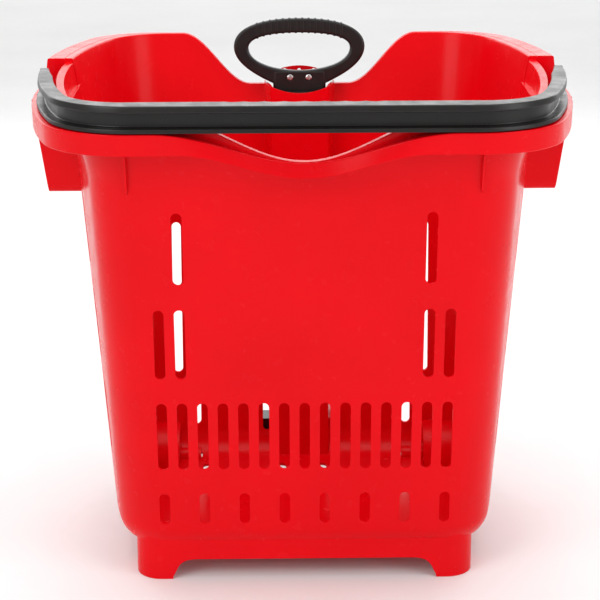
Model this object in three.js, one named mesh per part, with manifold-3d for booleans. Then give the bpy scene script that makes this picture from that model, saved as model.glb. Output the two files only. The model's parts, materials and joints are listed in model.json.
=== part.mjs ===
// A wheeled shopping basket with a swinging carry handle and a telescopic pull handle.
// Millimetres. +X to the right, +Y from the front wall to the rear wall, +Z up.
// The origin is on the ground, midway between the side walls, under the carry handle's pivots.
import * as THREE from 'three';
import { mergeVertices } from 'three/addons/utils/BufferGeometryUtils.js';
import Module from 'manifold-3d';

const wasm = await Module();
wasm.setup();

// ---- driving dimensions ----

const WALL = 2.6;
const REFERENCE_HEIGHT = 250;
const FRONT_DEPTH = 145.2;
const REAR_DEPTH = 161;
const FRONT_REAR_DRAFT = 0.114;
const SIDE_HALF_WIDTH = 198.4;
const SIDE_DRAFT = 0.0742;
const SIDE_RADIUS = 420;
const FRONT_CORNER_RADIUS = 48;
const REAR_CORNER_RADIUS = 55;

const BOTTOM = 27;
const BOTTOM_FILLET = 27;
const FLARE_START = 390;
const WALL_TOP = 396;

const RIM_TOP = 467.5;
const RIM_STEP_Y = 40;
const LIP_STEP_TOP = 464;
const LIP_FRONT_TOP = 457;
const LIP_SLOPE_LENGTH = 140;
const LEDGE_TOP = 443;
const SKIRT_BOTTOM = 424;
const FRONT_DIP_DEPTH = 42;
const FRONT_DIP_HALF = 128;
const SKIRT_DIP_DEPTH = 22;
const SKIRT_DIP_HALF = 108;
const REAR_DIP_DEPTH = 51.5;
const REAR_DIP_MIDDLE = 84;
const REAR_DIP_HALF = 34;

// Distances out from the wall to the rim's edges: [at the middle of the front or rear, at the sides].
const LIP_INNER = [7.5, 4.5];
const LIP_OUTER = [15.5, 12];
const LEDGE_OUTER = [31, 35.5];
const LEDGE_OUTER_AT_DIP = 17;
const FRONT_SKIRT_OUTER = [32, 36.5];
const FRONT_SKIRT_OUTER_AT_DIP = 24.5;
const REAR_RIM_INNER = [5, 4];
const REAR_RIM_OUTER = [12.8, 28];
const REAR_SKIRT_OUTER = [16.5, 36.5];

const SLOT_WIDTH = 9.5;
const SLOT_PITCH = 18.5;
const ROW_1 = [298.4, 365.5];
const ROW_2 = [207.4, 274.6];
const ROW_3 = [115.8, 183.2];
const ROW_4 = [59.1, 90.8];

const CHANNEL_FRONT_AT_TOP = 150;
const CHANNEL_TOP = 419;
const CHANNEL_SLOPE = 0.085;
const CHANNEL_FRONT_HALF = 29.6;
const CHANNEL_FRONT_HALF_DRAFT = 1.6;
const CHANNEL_REAR_HALF = 36;
const CHANNEL_REAR_HALF_DRAFT = 4.5;
const CHANNEL_POCKET_FLOOR = 64;
const CHANNEL_SCOOP_RADIUS = 65;
const CHANNEL_SCOOP_DEPTH = 7;
const COVER_BOTTOM = 66;
const COVER_HALF = 33.8;

const PIVOT_Z = 430;
const PIVOT_PIN_RADIUS = 4;
const RUNNING_CLEARANCE = 0.06;

const MAST_FOOT_Y = 136;
const MAST_LEAN = Math.atan(0.1);
const COVER_LEAN = Math.atan(FRONT_REAR_DRAFT);
const COVER_FOOT_Y = REAR_DEPTH - FRONT_REAR_DRAFT * REFERENCE_HEIGHT;
const SLEEVE_TOP = 411.5;

const WHEEL_Y = 118;
const WHEEL_RADIUS = 30;
const WHEEL_INNER_X = 134;
const WHEEL_WIDTH = 19;
const AXLE_RADIUS = 4;
const ARCH_INNER_X = 130;
const ARCH_RADIUS = 34;

const ROUND = 16;

// ---- materials ----

const RED = { color: 0xd80a12, roughness: 0.22, metalness: 0 };
const BLACK = { color: 0x24211f, roughness: 0.38, metalness: 0 };
const GREY_RUBBER = { color: 0x3a3a3b, roughness: 0.75, metalness: 0 };
const ZINC = { color: 0xb9bcbf, roughness: 0.35, metalness: 1 };

// ---- solids ----

function toSolid(geometry) {
  const bare = geometry.clone();
  bare.deleteAttribute('normal');
  bare.deleteAttribute('uv');
  const merged = mergeVertices(bare, 1e-4);
  const mesh = new wasm.Mesh({
    numProp: 3,
    vertProperties: new Float32Array(merged.attributes.position.array),
    triVerts: new Uint32Array(merged.index.array),
  });
  return new wasm.Manifold(mesh);
}

function toGeometry(solid) {
  const mesh = solid.getMesh();
  const geometry = new THREE.BufferGeometry();
  geometry.setAttribute('position', new THREE.BufferAttribute(mesh.vertProperties, 3));
  geometry.setIndex(new THREE.BufferAttribute(mesh.triVerts, 1));
  geometry.computeVertexNormals();
  return geometry;
}

function joined(solids) {
  return solids.reduce((all, solid) => all.add(solid));
}

function piece(name, geometry, look) {
  const mesh = new THREE.Mesh(geometry, new THREE.MeshStandardMaterial(look));
  mesh.name = name;
  return mesh;
}

// A closed geometry from points and triangles, turned so that its faces look outward.
function closedGeometry(points, triangles) {
  let volume = 0;
  for (const [a, b, c] of triangles) {
    volume += points[a].dot(new THREE.Vector3().crossVectors(points[b], points[c]));
  }
  const ordered = volume > 0 ? triangles : triangles.map(([a, b, c]) => [a, c, b]);
  const geometry = new THREE.BufferGeometry().setFromPoints(points);
  geometry.setIndex(ordered.flat());
  return geometry;
}

// Joins equal polygons one after another.
// A ring joins the last to the first; otherwise both ends are capped.
function sweep(polygons, capOutline, isRing) {
  const count = polygons[0].length;
  const points = polygons.flat();
  const triangles = [];
  const spans = isRing ? polygons.length : polygons.length - 1;
  for (let i = 0; i < spans; i += 1) {
    const here = i * count;
    const next = ((i + 1) % polygons.length) * count;
    for (let j = 0; j < count; j += 1) {
      const k = (j + 1) % count;
      triangles.push([here + j, here + k, next + k], [here + j, next + k, next + j]);
    }
  }
  if (!isRing) {
    const last = (polygons.length - 1) * count;
    const clockwise = THREE.ShapeUtils.isClockWise(capOutline);
    for (const [a, b, c] of THREE.ShapeUtils.triangulateShape(capOutline, [])) {
      const [near, far] = clockwise ? [b, c] : [c, b];
      triangles.push([a, near, far], [last + a, last + far, last + near]);
    }
  }
  return toSolid(closedGeometry(points, triangles));
}

// Stacked horizontal outlines, bottom to top.
function loft(levels) {
  const cap = levels[0].map((point) => new THREE.Vector2(point.x, point.y));
  return sweep(levels, cap, false);
}

function box(x0, x1, y0, y1, z0, z1) {
  const geometry = new THREE.BoxGeometry(x1 - x0, y1 - y0, z1 - z0);
  geometry.translate((x0 + x1) / 2, (y0 + y1) / 2, (z0 + z1) / 2);
  return toSolid(geometry);
}

// A block whose four sides are functions of height.
function taperedBlock(z0, z1, lowX, highX, lowY, highY) {
  return loft([z0, z1].map((z) => [
    new THREE.Vector3(lowX(z), lowY(z), z),
    new THREE.Vector3(highX(z), lowY(z), z),
    new THREE.Vector3(highX(z), highY(z), z),
    new THREE.Vector3(lowX(z), highY(z), z),
  ]));
}

function cylinderX(radius, x0, x1, y, z, segments = ROUND) {
  const geometry = new THREE.CylinderGeometry(radius, radius, Math.abs(x1 - x0), segments);
  geometry.rotateZ(Math.PI / 2);
  geometry.translate((x0 + x1) / 2, y, z);
  return toSolid(geometry);
}

function cylinderY(radius, x, y0, y1, z, segments = 12) {
  const geometry = new THREE.CylinderGeometry(radius, radius, y1 - y0, segments);
  geometry.translate(x, (y0 + y1) / 2, z);
  return toSolid(geometry);
}

// A bore's corner radius, so that its flats clear a round shaft by the running clearance.
function boreRadius(shaftRadius, clearance = RUNNING_CLEARANCE) {
  return (shaftRadius + clearance) / Math.cos(Math.PI / ROUND);
}

function extruded(shape, depth, curveSegments) {
  return new THREE.ExtrudeGeometry(shape, { depth, curveSegments, bevelEnabled: false });
}

// Stands a shape up to face along Y: the shape's x is X and its y is Z.
function extrudedAlongY(shape, y0, y1, curveSegments = 6) {
  const geometry = extruded(shape, y1 - y0, curveSegments);
  geometry.rotateX(Math.PI / 2);
  geometry.translate(0, y1, 0);
  return toSolid(geometry);
}

// Stands a shape up to face along X: the shape's x is Y and its y is Z.
function extrudedAlongX(shape, x0, x1, curveSegments = 6) {
  const geometry = extruded(shape, x1 - x0, curveSegments);
  const axes = new THREE.Matrix4().makeBasis(
    new THREE.Vector3(0, 1, 0),
    new THREE.Vector3(0, 0, 1),
    new THREE.Vector3(1, 0, 0),
  );
  geometry.applyMatrix4(axes);
  geometry.translate(x0, 0, 0);
  return toSolid(geometry);
}

function mirrored(solid) {
  return solid.mirror([1, 0, 0]);
}

function bothSides(solid) {
  return solid.add(mirrored(solid));
}

function polygonShape(corners) {
  return new THREE.Shape(corners.map(([x, y]) => new THREE.Vector2(x, y)));
}

function roundedRectangle(halfX, halfY, radius) {
  const shape = new THREE.Shape();
  shape.moveTo(-halfX + radius, -halfY);
  shape.lineTo(halfX - radius, -halfY);
  shape.absarc(halfX - radius, -halfY + radius, radius, -Math.PI / 2, 0);
  shape.lineTo(halfX, halfY - radius);
  shape.absarc(halfX - radius, halfY - radius, radius, 0, Math.PI / 2);
  shape.lineTo(-halfX + radius, halfY);
  shape.absarc(-halfX + radius, halfY - radius, radius, Math.PI / 2, Math.PI);
  shape.lineTo(-halfX, -halfY + radius);
  shape.absarc(-halfX + radius, -halfY + radius, radius, Math.PI, Math.PI * 1.5);
  return shape;
}

function roundedBar(halfX, halfY, radius, z0, z1) {
  const geometry = extruded(roundedRectangle(halfX, halfY, radius), z1 - z0, 2);
  geometry.translate(0, 0, z0);
  return toSolid(geometry);
}

// ---- the tub's plan ----

function mix(a, b, t) {
  return a + (b - a) * t;
}

function frontY(z) {
  return -(FRONT_DEPTH + FRONT_REAR_DRAFT * (z - REFERENCE_HEIGHT));
}

function rearY(z) {
  return REAR_DEPTH + FRONT_REAR_DRAFT * (z - REFERENCE_HEIGHT);
}

function sideX(z) {
  return SIDE_HALF_WIDTH + SIDE_DRAFT * (z - REFERENCE_HEIGHT);
}

const STRAIGHT_STEPS = 8;
const CORNER_STEPS = 4;
const SIDE_STEPS = 3;

// Points of the outer wall at height z with their outward normals, from the front's middle round the
// right side to the rear's middle: flat front, round corner, bowed side, round corner, flat rear.
function rightHalf(z) {
  const bowCentre = sideX(z) - SIDE_RADIUS;
  const frontCentreY = frontY(z) + FRONT_CORNER_RADIUS;
  const rearCentreY = rearY(z) - REAR_CORNER_RADIUS;
  const frontReach = SIDE_RADIUS - FRONT_CORNER_RADIUS;
  const rearReach = SIDE_RADIUS - REAR_CORNER_RADIUS;
  const frontCentreX = bowCentre + Math.sqrt(frontReach ** 2 - frontCentreY ** 2);
  const rearCentreX = bowCentre + Math.sqrt(rearReach ** 2 - rearCentreY ** 2);
  const frontAngle = Math.atan2(frontCentreY, frontCentreX - bowCentre);
  const rearAngle = Math.atan2(rearCentreY, rearCentreX - bowCentre);
  const stations = [];
  const addArc = (centreX, centreY, radius, from, to, steps) => {
    for (let i = 0; i < steps; i += 1) {
      const angle = mix(from, to, i / steps);
      const nx = Math.cos(angle);
      const ny = Math.sin(angle);
      stations.push({ x: centreX + radius * nx, y: centreY + radius * ny, nx, ny });
    }
  };
  for (let i = 0; i < STRAIGHT_STEPS; i += 1) {
    stations.push({ x: (frontCentreX * i) / STRAIGHT_STEPS, y: frontY(z), nx: 0, ny: -1 });
  }
  addArc(frontCentreX, frontCentreY, FRONT_CORNER_RADIUS, -Math.PI / 2, frontAngle, CORNER_STEPS);
  addArc(bowCentre, 0, SIDE_RADIUS, frontAngle, 0, SIDE_STEPS);
  addArc(bowCentre, 0, SIDE_RADIUS, 0, rearAngle, SIDE_STEPS);
  addArc(rearCentreX, rearCentreY, REAR_CORNER_RADIUS, rearAngle, Math.PI / 2, CORNER_STEPS);
  for (let i = 0; i <= STRAIGHT_STEPS; i += 1) {
    stations.push({ x: rearCentreX * (1 - i / STRAIGHT_STEPS), y: rearY(z), nx: 0, ny: 1 });
  }
  return stations;
}

// The station of rightHalf that stands beside the carry handle's pivot.
const PIVOT_STATION = STRAIGHT_STEPS + CORNER_STEPS + SIDE_STEPS;

function flipped({ x, y, nx, ny }) {
  return { x: -x, y, nx: -nx, ny };
}

function wholePlan(z) {
  const right = rightHalf(z);
  const left = right.slice(1, -1).reverse().map(flipped);
  return right.concat(left);
}

function outward(station, distance, z) {
  return new THREE.Vector3(station.x + station.nx * distance, station.y + station.ny * distance, z);
}

function planLevel(z, distance) {
  return wholePlan(z).map((station) => outward(station, distance, z));
}

// A filleted bottom edge: levels that swing from the flat bottom up to the wall.
function filletLevels(bottom, radius, inset) {
  return [0, 30, 60, 90].map((degrees) => {
    const angle = THREE.MathUtils.degToRad(degrees);
    const z = bottom + radius * (1 - Math.cos(angle));
    return planLevel(z, -inset - radius * (1 - Math.sin(angle)));
  });
}

function outerBody() {
  const levels = filletLevels(BOTTOM, BOTTOM_FILLET, 0);
  levels.push(planLevel(FLARE_START, 0));
  levels.push(planLevel(WALL_TOP, 0));
  return loft(levels);
}

function innerHollow() {
  const levels = filletLevels(BOTTOM + WALL, BOTTOM_FILLET - WALL, WALL);
  levels.push(planLevel(FLARE_START, -WALL));
  levels.push(planLevel(WALL_TOP + 2, -WALL));
  return loft(levels);
}

// ---- the rim ----

function between([atMiddle, atSide], side) {
  return mix(atMiddle, atSide, side);
}

// A smooth hollow, 1 in the middle and 0 from half its width outward.
function dip(x, half) {
  return Math.abs(x) < half ? (1 + Math.cos((Math.PI * x) / half)) / 2 : 0;
}

function lipTop(station) {
  const along = THREE.MathUtils.clamp((RIM_STEP_Y - station.y) / LIP_SLOPE_LENGTH, 0, 1);
  return mix(LIP_STEP_TOP, LIP_FRONT_TOP, along) - FRONT_DIP_DEPTH * dip(station.x, FRONT_DIP_HALF);
}

function rearRimTop(station) {
  const fromMiddle = (Math.abs(station.x) - REAR_DIP_MIDDLE) / REAR_DIP_HALF;
  const swing = THREE.MathUtils.clamp(fromMiddle, -1, 1);
  return RIM_TOP - (REAR_DIP_DEPTH * (1 - Math.sin((swing * Math.PI) / 2))) / 2;
}

function rimRing(profileAt) {
  const polygons = wholePlan(WALL_TOP).map((base, i) =>
    profileAt(base).map(([distance, z]) => outward(wholePlan(z)[i], distance, z)),
  );
  return sweep(polygons, [], true);
}

// Front half: the wall flares to a narrow raised lip, with a low ledge outside it and a skirt below that.
function frontProfile(station) {
  const side = Math.abs(station.nx);
  const low = dip(station.x, FRONT_DIP_HALF);
  const top = lipTop(station);
  const ledgeAtDip = LIP_FRONT_TOP - FRONT_DIP_DEPTH - 0.6;
  const ledge = mix(LEDGE_TOP, ledgeAtDip, low);
  const lipInner = between(LIP_INNER, side);
  const lipOuter = between(LIP_OUTER, side);
  const ledgeOuter = mix(mix(LEDGE_OUTER[0], LEDGE_OUTER_AT_DIP, low), LEDGE_OUTER[1], side);
  const skirtMiddle = mix(FRONT_SKIRT_OUTER[0], FRONT_SKIRT_OUTER_AT_DIP, low);
  const skirtOuter = mix(skirtMiddle, FRONT_SKIRT_OUTER[1], side);
  const skirtEnd = SKIRT_BOTTOM - SKIRT_DIP_DEPTH * dip(station.x, SKIRT_DIP_HALF);
  return [
    [-WALL, FLARE_START],
    [lipInner, top],
    [lipOuter, top],
    [lipOuter, ledge],
    [ledgeOuter, ledge],
    [skirtOuter, skirtEnd],
    [skirtOuter - WALL, skirtEnd],
    [ledgeOuter - WALL, ledge - WALL],
    [lipInner + WALL, ledge - WALL],
    [0, WALL_TOP],
    [0, FLARE_START],
  ];
}

// Rear half: one broad flat rim with a deeper skirt.
function rearProfile(station) {
  const side = Math.abs(station.nx);
  const top = rearRimTop(station);
  const low = (RIM_TOP - top) / REAR_DIP_DEPTH;
  const inner = between(REAR_RIM_INNER, side);
  const outer = between(REAR_RIM_OUTER, side);
  const skirtOuter = between(REAR_SKIRT_OUTER, side);
  const skirtEnd = SKIRT_BOTTOM - SKIRT_DIP_DEPTH * low;
  return [
    [-WALL, FLARE_START],
    [inner, top],
    [outer, top],
    [skirtOuter, skirtEnd],
    [skirtOuter - WALL, skirtEnd],
    [outer - WALL, top - WALL],
    [inner + WALL, top - WALL],
    [0, WALL_TOP],
    [0, FLARE_START],
  ];
}

// The wall that closes the rear rim's hollow underside where it meets the front half.
function rearEndWallProfile(station) {
  const side = Math.abs(station.nx);
  const top = rearRimTop(station) - 1;
  const skirtInner = between(REAR_SKIRT_OUTER, side) - WALL + 1;
  const foot = SKIRT_BOTTOM + 6;
  return [
    [-WALL / 2, FLARE_START],
    [REAR_RIM_INNER[0], top],
    [between(REAR_RIM_OUTER, side) - WALL + 1, top - 0.6],
    [skirtInner, foot],
    [skirtInner - 5, foot],
    [0, WALL_TOP + 8],
  ];
}

function rim() {
  const reach = 300;
  const sky = 600;
  const slab = (y0, y1) => box(-reach, reach, y0, y1, 0, sky);
  const front = rimRing(frontProfile).intersect(slab(-reach, RIM_STEP_Y + 1));
  const rear = rimRing(rearProfile).intersect(slab(RIM_STEP_Y, reach));
  const endWall = rimRing(rearEndWallProfile).intersect(slab(RIM_STEP_Y, RIM_STEP_Y + WALL));
  return joined([front, rear, endWall]);
}

// ---- the rear channel ----

function channelFrontY(z) {
  return CHANNEL_FRONT_AT_TOP - CHANNEL_SLOPE * (CHANNEL_TOP - z);
}

function channelOutline(z, inset, rearPoint) {
  const narrow = (CHANNEL_TOP - z) / CHANNEL_TOP;
  const frontHalf = CHANNEL_FRONT_HALF - CHANNEL_FRONT_HALF_DRAFT * narrow - inset;
  const wallHalf = CHANNEL_REAR_HALF - CHANNEL_REAR_HALF_DRAFT * narrow - inset;
  const front = channelFrontY(z) + inset;
  return [
    [-wallHalf, rearPoint],
    [-wallHalf, rearY(z)],
    [-frontHalf, front],
    [frontHalf, front],
    [wallHalf, rearY(z)],
    [wallHalf, rearPoint],
  ].map(([x, y]) => new THREE.Vector3(x, y, z));
}

// How far the channel's side walls reach behind the rear wall: [height, reach].
const CHANNEL_REAR_REACH = [
  [BOTTOM + 1, 0.1],
  [CHANNEL_POCKET_FLOOR, 0.1],
  [COVER_BOTTOM, 3],
  [WALL_TOP, 3],
  [CHANNEL_TOP, 8],
];

function channelBlock() {
  return loft(CHANNEL_REAR_REACH.map(([z, reach]) => channelOutline(z, 0, rearY(z) + reach)));
}

// The space for the pull handle: a pocket open to the rear, a lower hollow, and a scooped mouth.
function channelPocket() {
  const openRear = 240;
  const upper = loft([
    channelOutline(CHANNEL_POCKET_FLOOR, WALL, openRear),
    channelOutline(CHANNEL_TOP + 60, WALL, openRear),
  ]);
  const lowerHalf = 28;
  const lower = taperedBlock(
    BOTTOM - 5,
    CHANNEL_POCKET_FLOOR - WALL,
    () => -lowerHalf,
    () => lowerHalf,
    (z) => channelFrontY(z) + WALL,
    (z) => rearY(z) - WALL,
  );
  const scoopZ = CHANNEL_TOP - CHANNEL_SCOOP_DEPTH + CHANNEL_SCOOP_RADIUS;
  const scoop = cylinderY(CHANNEL_SCOOP_RADIUS, 0, 130, 165, scoopZ, 48);
  const mouthHalf = COVER_HALF + 0.4;
  const mouth = box(-mouthHalf, mouthHalf, 178, openRear, WALL_TOP, CHANNEL_TOP + 20);
  return joined([upper, lower, scoop, mouth]);
}

// ---- slots ----

function slotShape(across, low, high, width = SLOT_WIDTH) {
  const radius = width / 2;
  const shape = new THREE.Shape();
  shape.absarc(across, high - radius, radius, 0, Math.PI);
  shape.absarc(across, low + radius, radius, Math.PI, Math.PI * 2);
  return shape;
}

function alternate(count, pitch) {
  return Array.from({ length: count }, (_, i) => (i - (count - 1) / 2) * pitch);
}

function wallSlots() {
  const cutters = [];
  const cut = (columns, row, make) => {
    for (const column of columns) {
      cutters.push(make(slotShape(column, row[0], row[1])));
    }
  };
  const columns = (...steps) => steps.map((step) => step * SLOT_PITCH);
  const throughFront = (shape) => extrudedAlongY(shape, -175, -105, 3);
  cut(columns(-6, 6), ROW_1, throughFront);
  cut(columns(-7, -6, 6, 7), ROW_2, throughFront);
  cut(alternate(15, SLOT_PITCH), ROW_3, throughFront);
  cut(alternate(8, 2 * SLOT_PITCH), ROW_4, throughFront);
  const throughRear = (shape) => extrudedAlongY(shape, 118, 190, 3);
  cut(columns(-7, 7), ROW_2, throughRear);
  cut(columns(-7, 7), ROW_3, throughRear);
  cut(columns(-6, 6), ROW_4, throughRear);
  const throughSides = (shape) => extrudedAlongX(shape, -230, 230, 3);
  cut(alternate(2, 8 * SLOT_PITCH), ROW_1, throughSides);
  cut(columns(-4, -3, 3, 4), ROW_2, throughSides);
  cut(alternate(9, SLOT_PITCH), ROW_3, throughSides);
  return joined(cutters);
}

// Short slots that flank the channel's foot.
const FOOT_SLOT = { x: 36.4, low: 52, width: 8 };

function channelFootSlots() {
  const shape = slotShape(FOOT_SLOT.x, FOOT_SLOT.low, ROW_4[1], FOOT_SLOT.width);
  return bothSides(extrudedAlongY(shape, 134, 150, 3));
}

// Slots in the floor's rear half, which stop short of the wheel arches.
const FLOOR_SLOTS = [
  { x: 21, front: 26, rear: 96, width: SLOT_WIDTH },
  { x: 98, front: 26, rear: 96, width: SLOT_WIDTH },
  { x: 141, front: 26, rear: 70, width: 12 },
];

function floorSlots() {
  const cutters = FLOOR_SLOTS.map(({ x, front, rear, width }) => {
    const geometry = extruded(slotShape(x, front, rear, width), 20, 3);
    geometry.translate(0, 0, BOTTOM - 10);
    return toSolid(geometry);
  });
  return bothSides(joined(cutters));
}

// ---- feet, wheel arches and handle housings ----

const FOOT_INNER_X = 124;
const FOOT_OUTER_X = 159;
const FOOT_FRONT_Y = -117;
const FOOT_REAR_Y = -72;
const FOOT_CORNER = 25;
const FOOT_THICKNESS = 12;
const FOOT_TOP = 46;

// A foot wraps the front corner in plan.
function foot() {
  const centreX = FOOT_OUTER_X - FOOT_CORNER;
  const centreY = FOOT_FRONT_Y + FOOT_CORNER;
  const innerCorner = FOOT_CORNER - FOOT_THICKNESS;
  const plan = new THREE.Shape();
  plan.moveTo(FOOT_INNER_X, FOOT_FRONT_Y);
  plan.lineTo(centreX, FOOT_FRONT_Y);
  plan.absarc(centreX, centreY, FOOT_CORNER, -Math.PI / 2, 0);
  plan.lineTo(FOOT_OUTER_X, FOOT_REAR_Y);
  plan.lineTo(FOOT_OUTER_X - FOOT_THICKNESS, FOOT_REAR_Y);
  plan.lineTo(FOOT_OUTER_X - FOOT_THICKNESS, centreY);
  plan.absarc(centreX, centreY, innerCorner, 0, -Math.PI / 2, true);
  plan.lineTo(FOOT_INNER_X, FOOT_FRONT_Y + FOOT_THICKNESS);
  return toSolid(extruded(plan, FOOT_TOP, 4));
}

const RAIL_BOTTOM = 20;
const RAIL_TOP = 40;
const RAIL_THICKNESS = 3;

// A shallow rail joins the two feet along the front and sweeps down into each of them.
function frontRail() {
  const half = new THREE.Shape();
  half.moveTo(0, RAIL_BOTTOM);
  half.lineTo(100, RAIL_BOTTOM);
  half.bezierCurveTo(112, RAIL_BOTTOM, 116, 17, 119, 12);
  half.lineTo(FOOT_INNER_X + 1, 0);
  half.lineTo(FOOT_INNER_X + 3, 0);
  half.lineTo(FOOT_INNER_X + 3, RAIL_TOP);
  half.lineTo(0, RAIL_TOP);
  return bothSides(extrudedAlongY(half, FOOT_FRONT_Y, FOOT_FRONT_Y + RAIL_THICKNESS, 4));
}

function archSolid(radius, x0, x1, bottom) {
  const shape = new THREE.Shape();
  shape.moveTo(WHEEL_Y + radius, bottom);
  shape.lineTo(WHEEL_Y + radius, WHEEL_RADIUS);
  shape.absarc(WHEEL_Y, WHEEL_RADIUS, radius, 0, Math.PI);
  shape.lineTo(WHEEL_Y - radius, bottom);
  return extrudedAlongX(shape, x0, x1, 8);
}

const AXLE_BOSS_INNER_X = 106;
const AXLE_BOSS_RADIUS = 9;

function axleBoss() {
  return cylinderX(AXLE_BOSS_RADIUS, AXLE_BOSS_INNER_X, ARCH_INNER_X, WHEEL_Y, WHEEL_RADIUS);
}

const HOUSING_BOTTOM = 354.6;
const HOUSING_TOP = LEDGE_TOP - 1;
const HOUSING_FRONT_Y = -36;
const PIVOT_FACE_X = 231.5;
const PIVOT_BOSS_RADIUS = 11;
const PIN_ACCESS_RADIUS = 9;
const MOUTH_OUTER_X = 245.2;
const MOUTH_FRONT_Y = -16;
const MOUTH_FLOOR = PIVOT_Z - 14;

function housingOuterX(z) {
  return 240 + 0.14 * (z - 390);
}

function handleHousing() {
  return taperedBlock(
    HOUSING_BOTTOM,
    HOUSING_TOP,
    (z) => sideX(z) - 2,
    housingOuterX,
    () => HOUSING_FRONT_Y,
    () => RIM_STEP_Y + 1.5,
  );
}

function housingHollow() {
  const hollow = taperedBlock(
    HOUSING_BOTTOM + WALL,
    LEDGE_TOP - WALL,
    (z) => sideX(z) + 0.2,
    (z) => housingOuterX(z) - WALL,
    () => HOUSING_FRONT_Y + WALL,
    () => RIM_STEP_Y - 1,
  );
  const boss = cylinderX(PIVOT_BOSS_RADIUS, 200, PIVOT_FACE_X, 0, PIVOT_Z);
  return hollow.subtract(boss);
}

// The opening in the ledge that the carry handle's end swings through.
function housingMouth() {
  const rear = RIM_STEP_Y - 0.2;
  return box(PIVOT_FACE_X, MOUTH_OUTER_X, MOUTH_FRONT_Y, rear, MOUTH_FLOOR, LEDGE_TOP + 40);
}

const RIB_X = [152, 154.4];
const RIB_FOOT_Z = 383;

// A thin rib that runs from the front wall up to the underside of the rim.
function frontRib() {
  const shape = new THREE.Shape();
  shape.moveTo(frontY(RIB_FOOT_Z) + 1, RIB_FOOT_Z);
  shape.lineTo(frontY(RIB_FOOT_Z) - 0.8, RIB_FOOT_Z + 1);
  shape.lineTo(frontY(418) - 9, 418);
  shape.lineTo(frontY(424) - 20, 426);
  shape.lineTo(frontY(424) + 1, 426);
  return extrudedAlongX(shape, RIB_X[0], RIB_X[1], 1);
}

// ---- screw bosses on the tub's rear ----

const COVER_SCREW_X = 38.6;
const COVER_SCREW_HEIGHTS = [122, 372];
const BRACKET_SCREW_X = 22;
const BRACKET_SCREW_Z = 49;
const BRACKET_FRONT_Y = 140.4;
const BOSS_RADIUS = 4.5;
const PILOT_RADIUS = 1.6;
const CLEARANCE_HOLE_RADIUS = 1.9;
const SCREW_HEAD_RADIUS = 3.6;
const SCREW_HEAD_HEIGHT = 2.2;
const SCREW_SHANK_RADIUS = 1.4;

function leanedToCover(solid) {
  const lean = new THREE.Matrix4().makeRotationX(-COVER_LEAN);
  lean.setPosition(0, COVER_FOOT_Y, 0);
  return solid.transform(lean.elements);
}

function coverBosses() {
  const bosses = COVER_SCREW_HEIGHTS.map((z) => cylinderY(BOSS_RADIUS, COVER_SCREW_X, -1.5, 3, z));
  return bothSides(leanedToCover(joined(bosses)));
}

// A boss that carries one foot bracket screw, from y0 back to the bracket.
function bracketBoss(y0) {
  return cylinderY(BOSS_RADIUS, BRACKET_SCREW_X, y0, BRACKET_FRONT_Y - 0.3, BRACKET_SCREW_Z);
}

function bracketPilotHole() {
  return cylinderY(PILOT_RADIUS, BRACKET_SCREW_X, 128, BRACKET_FRONT_Y, BRACKET_SCREW_Z, 8);
}

function coverPilotHoles() {
  const holes = COVER_SCREW_HEIGHTS.map((z) => cylinderY(PILOT_RADIUS, COVER_SCREW_X, -1.4, 4, z, 8));
  return bothSides(leanedToCover(joined(holes)));
}

// ---- the tub ----

function axleBore() {
  const radius = boreRadius(AXLE_RADIUS);
  return cylinderX(radius, AXLE_BOSS_INNER_X - 1, ARCH_INNER_X + 1, WHEEL_Y, WHEEL_RADIUS);
}

function pivotBore() {
  return cylinderX(boreRadius(PIVOT_PIN_RADIUS), 217, PIVOT_FACE_X + 1, 0, PIVOT_Z);
}

function basketTub() {
  const shell = joined([
    outerBody(),
    bothSides(foot()),
    frontRail(),
    bothSides(handleHousing()),
    bothSides(frontRib()),
    bothSides(axleBoss()),
    coverBosses(),
    channelBlock(),
    bothSides(bracketBoss(120)),
  ]);
  const archLining = archSolid(ARCH_RADIUS + WALL, ARCH_INNER_X - WALL, 200, BOTTOM);
  const hollow = innerHollow()
    .subtract(channelBlock())
    .subtract(bothSides(archLining))
    .subtract(bothSides(axleBoss()));
  const cuts = joined([
    channelPocket().subtract(bothSides(bracketBoss(126))),
    bothSides(archSolid(ARCH_RADIUS, ARCH_INNER_X, 220, -10)),
    wallSlots(),
    channelFootSlots(),
    floorSlots(),
    coverPilotHoles(),
    bothSides(bracketPilotHole()),
    bothSides(axleBore()),
    bothSides(housingHollow()),
    bothSides(housingMouth()),
    bothSides(pivotBore()),
    bothSides(cylinderX(PIN_ACCESS_RADIUS, 243, 256, 0, PIVOT_Z)),
  ]);
  return shell.subtract(hollow).add(rim()).subtract(cuts);
}

// ---- carry handle ----

const HANDLE_TOP = 466.7;
const HANDLE_BOTTOM = 443.9;
const HANDLE_PLAN_Z = 457;
const HANDLE_GROOVE_TOP = 459.5;
const HANDLE_GROOVE_BOTTOM = 447.3;
const HANDLE_EDGE = 6;
const HANDLE_WEB = 5;
const HANDLE_WEB_INNER = 17;
const HANDLE_END_INNER = 21;
const HANDLE_INNER = [8, 14.5];
const HANDLE_TOP_OUTER = [30, 28.5];
const HANDLE_BOTTOM_OUTER = [31, 30];
const HANDLE_LEG_X = [234.9, 241];
const HANDLE_EYE_RADIUS = 11;
const HANDLE_NOSE_RADIUS = 12;

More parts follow.
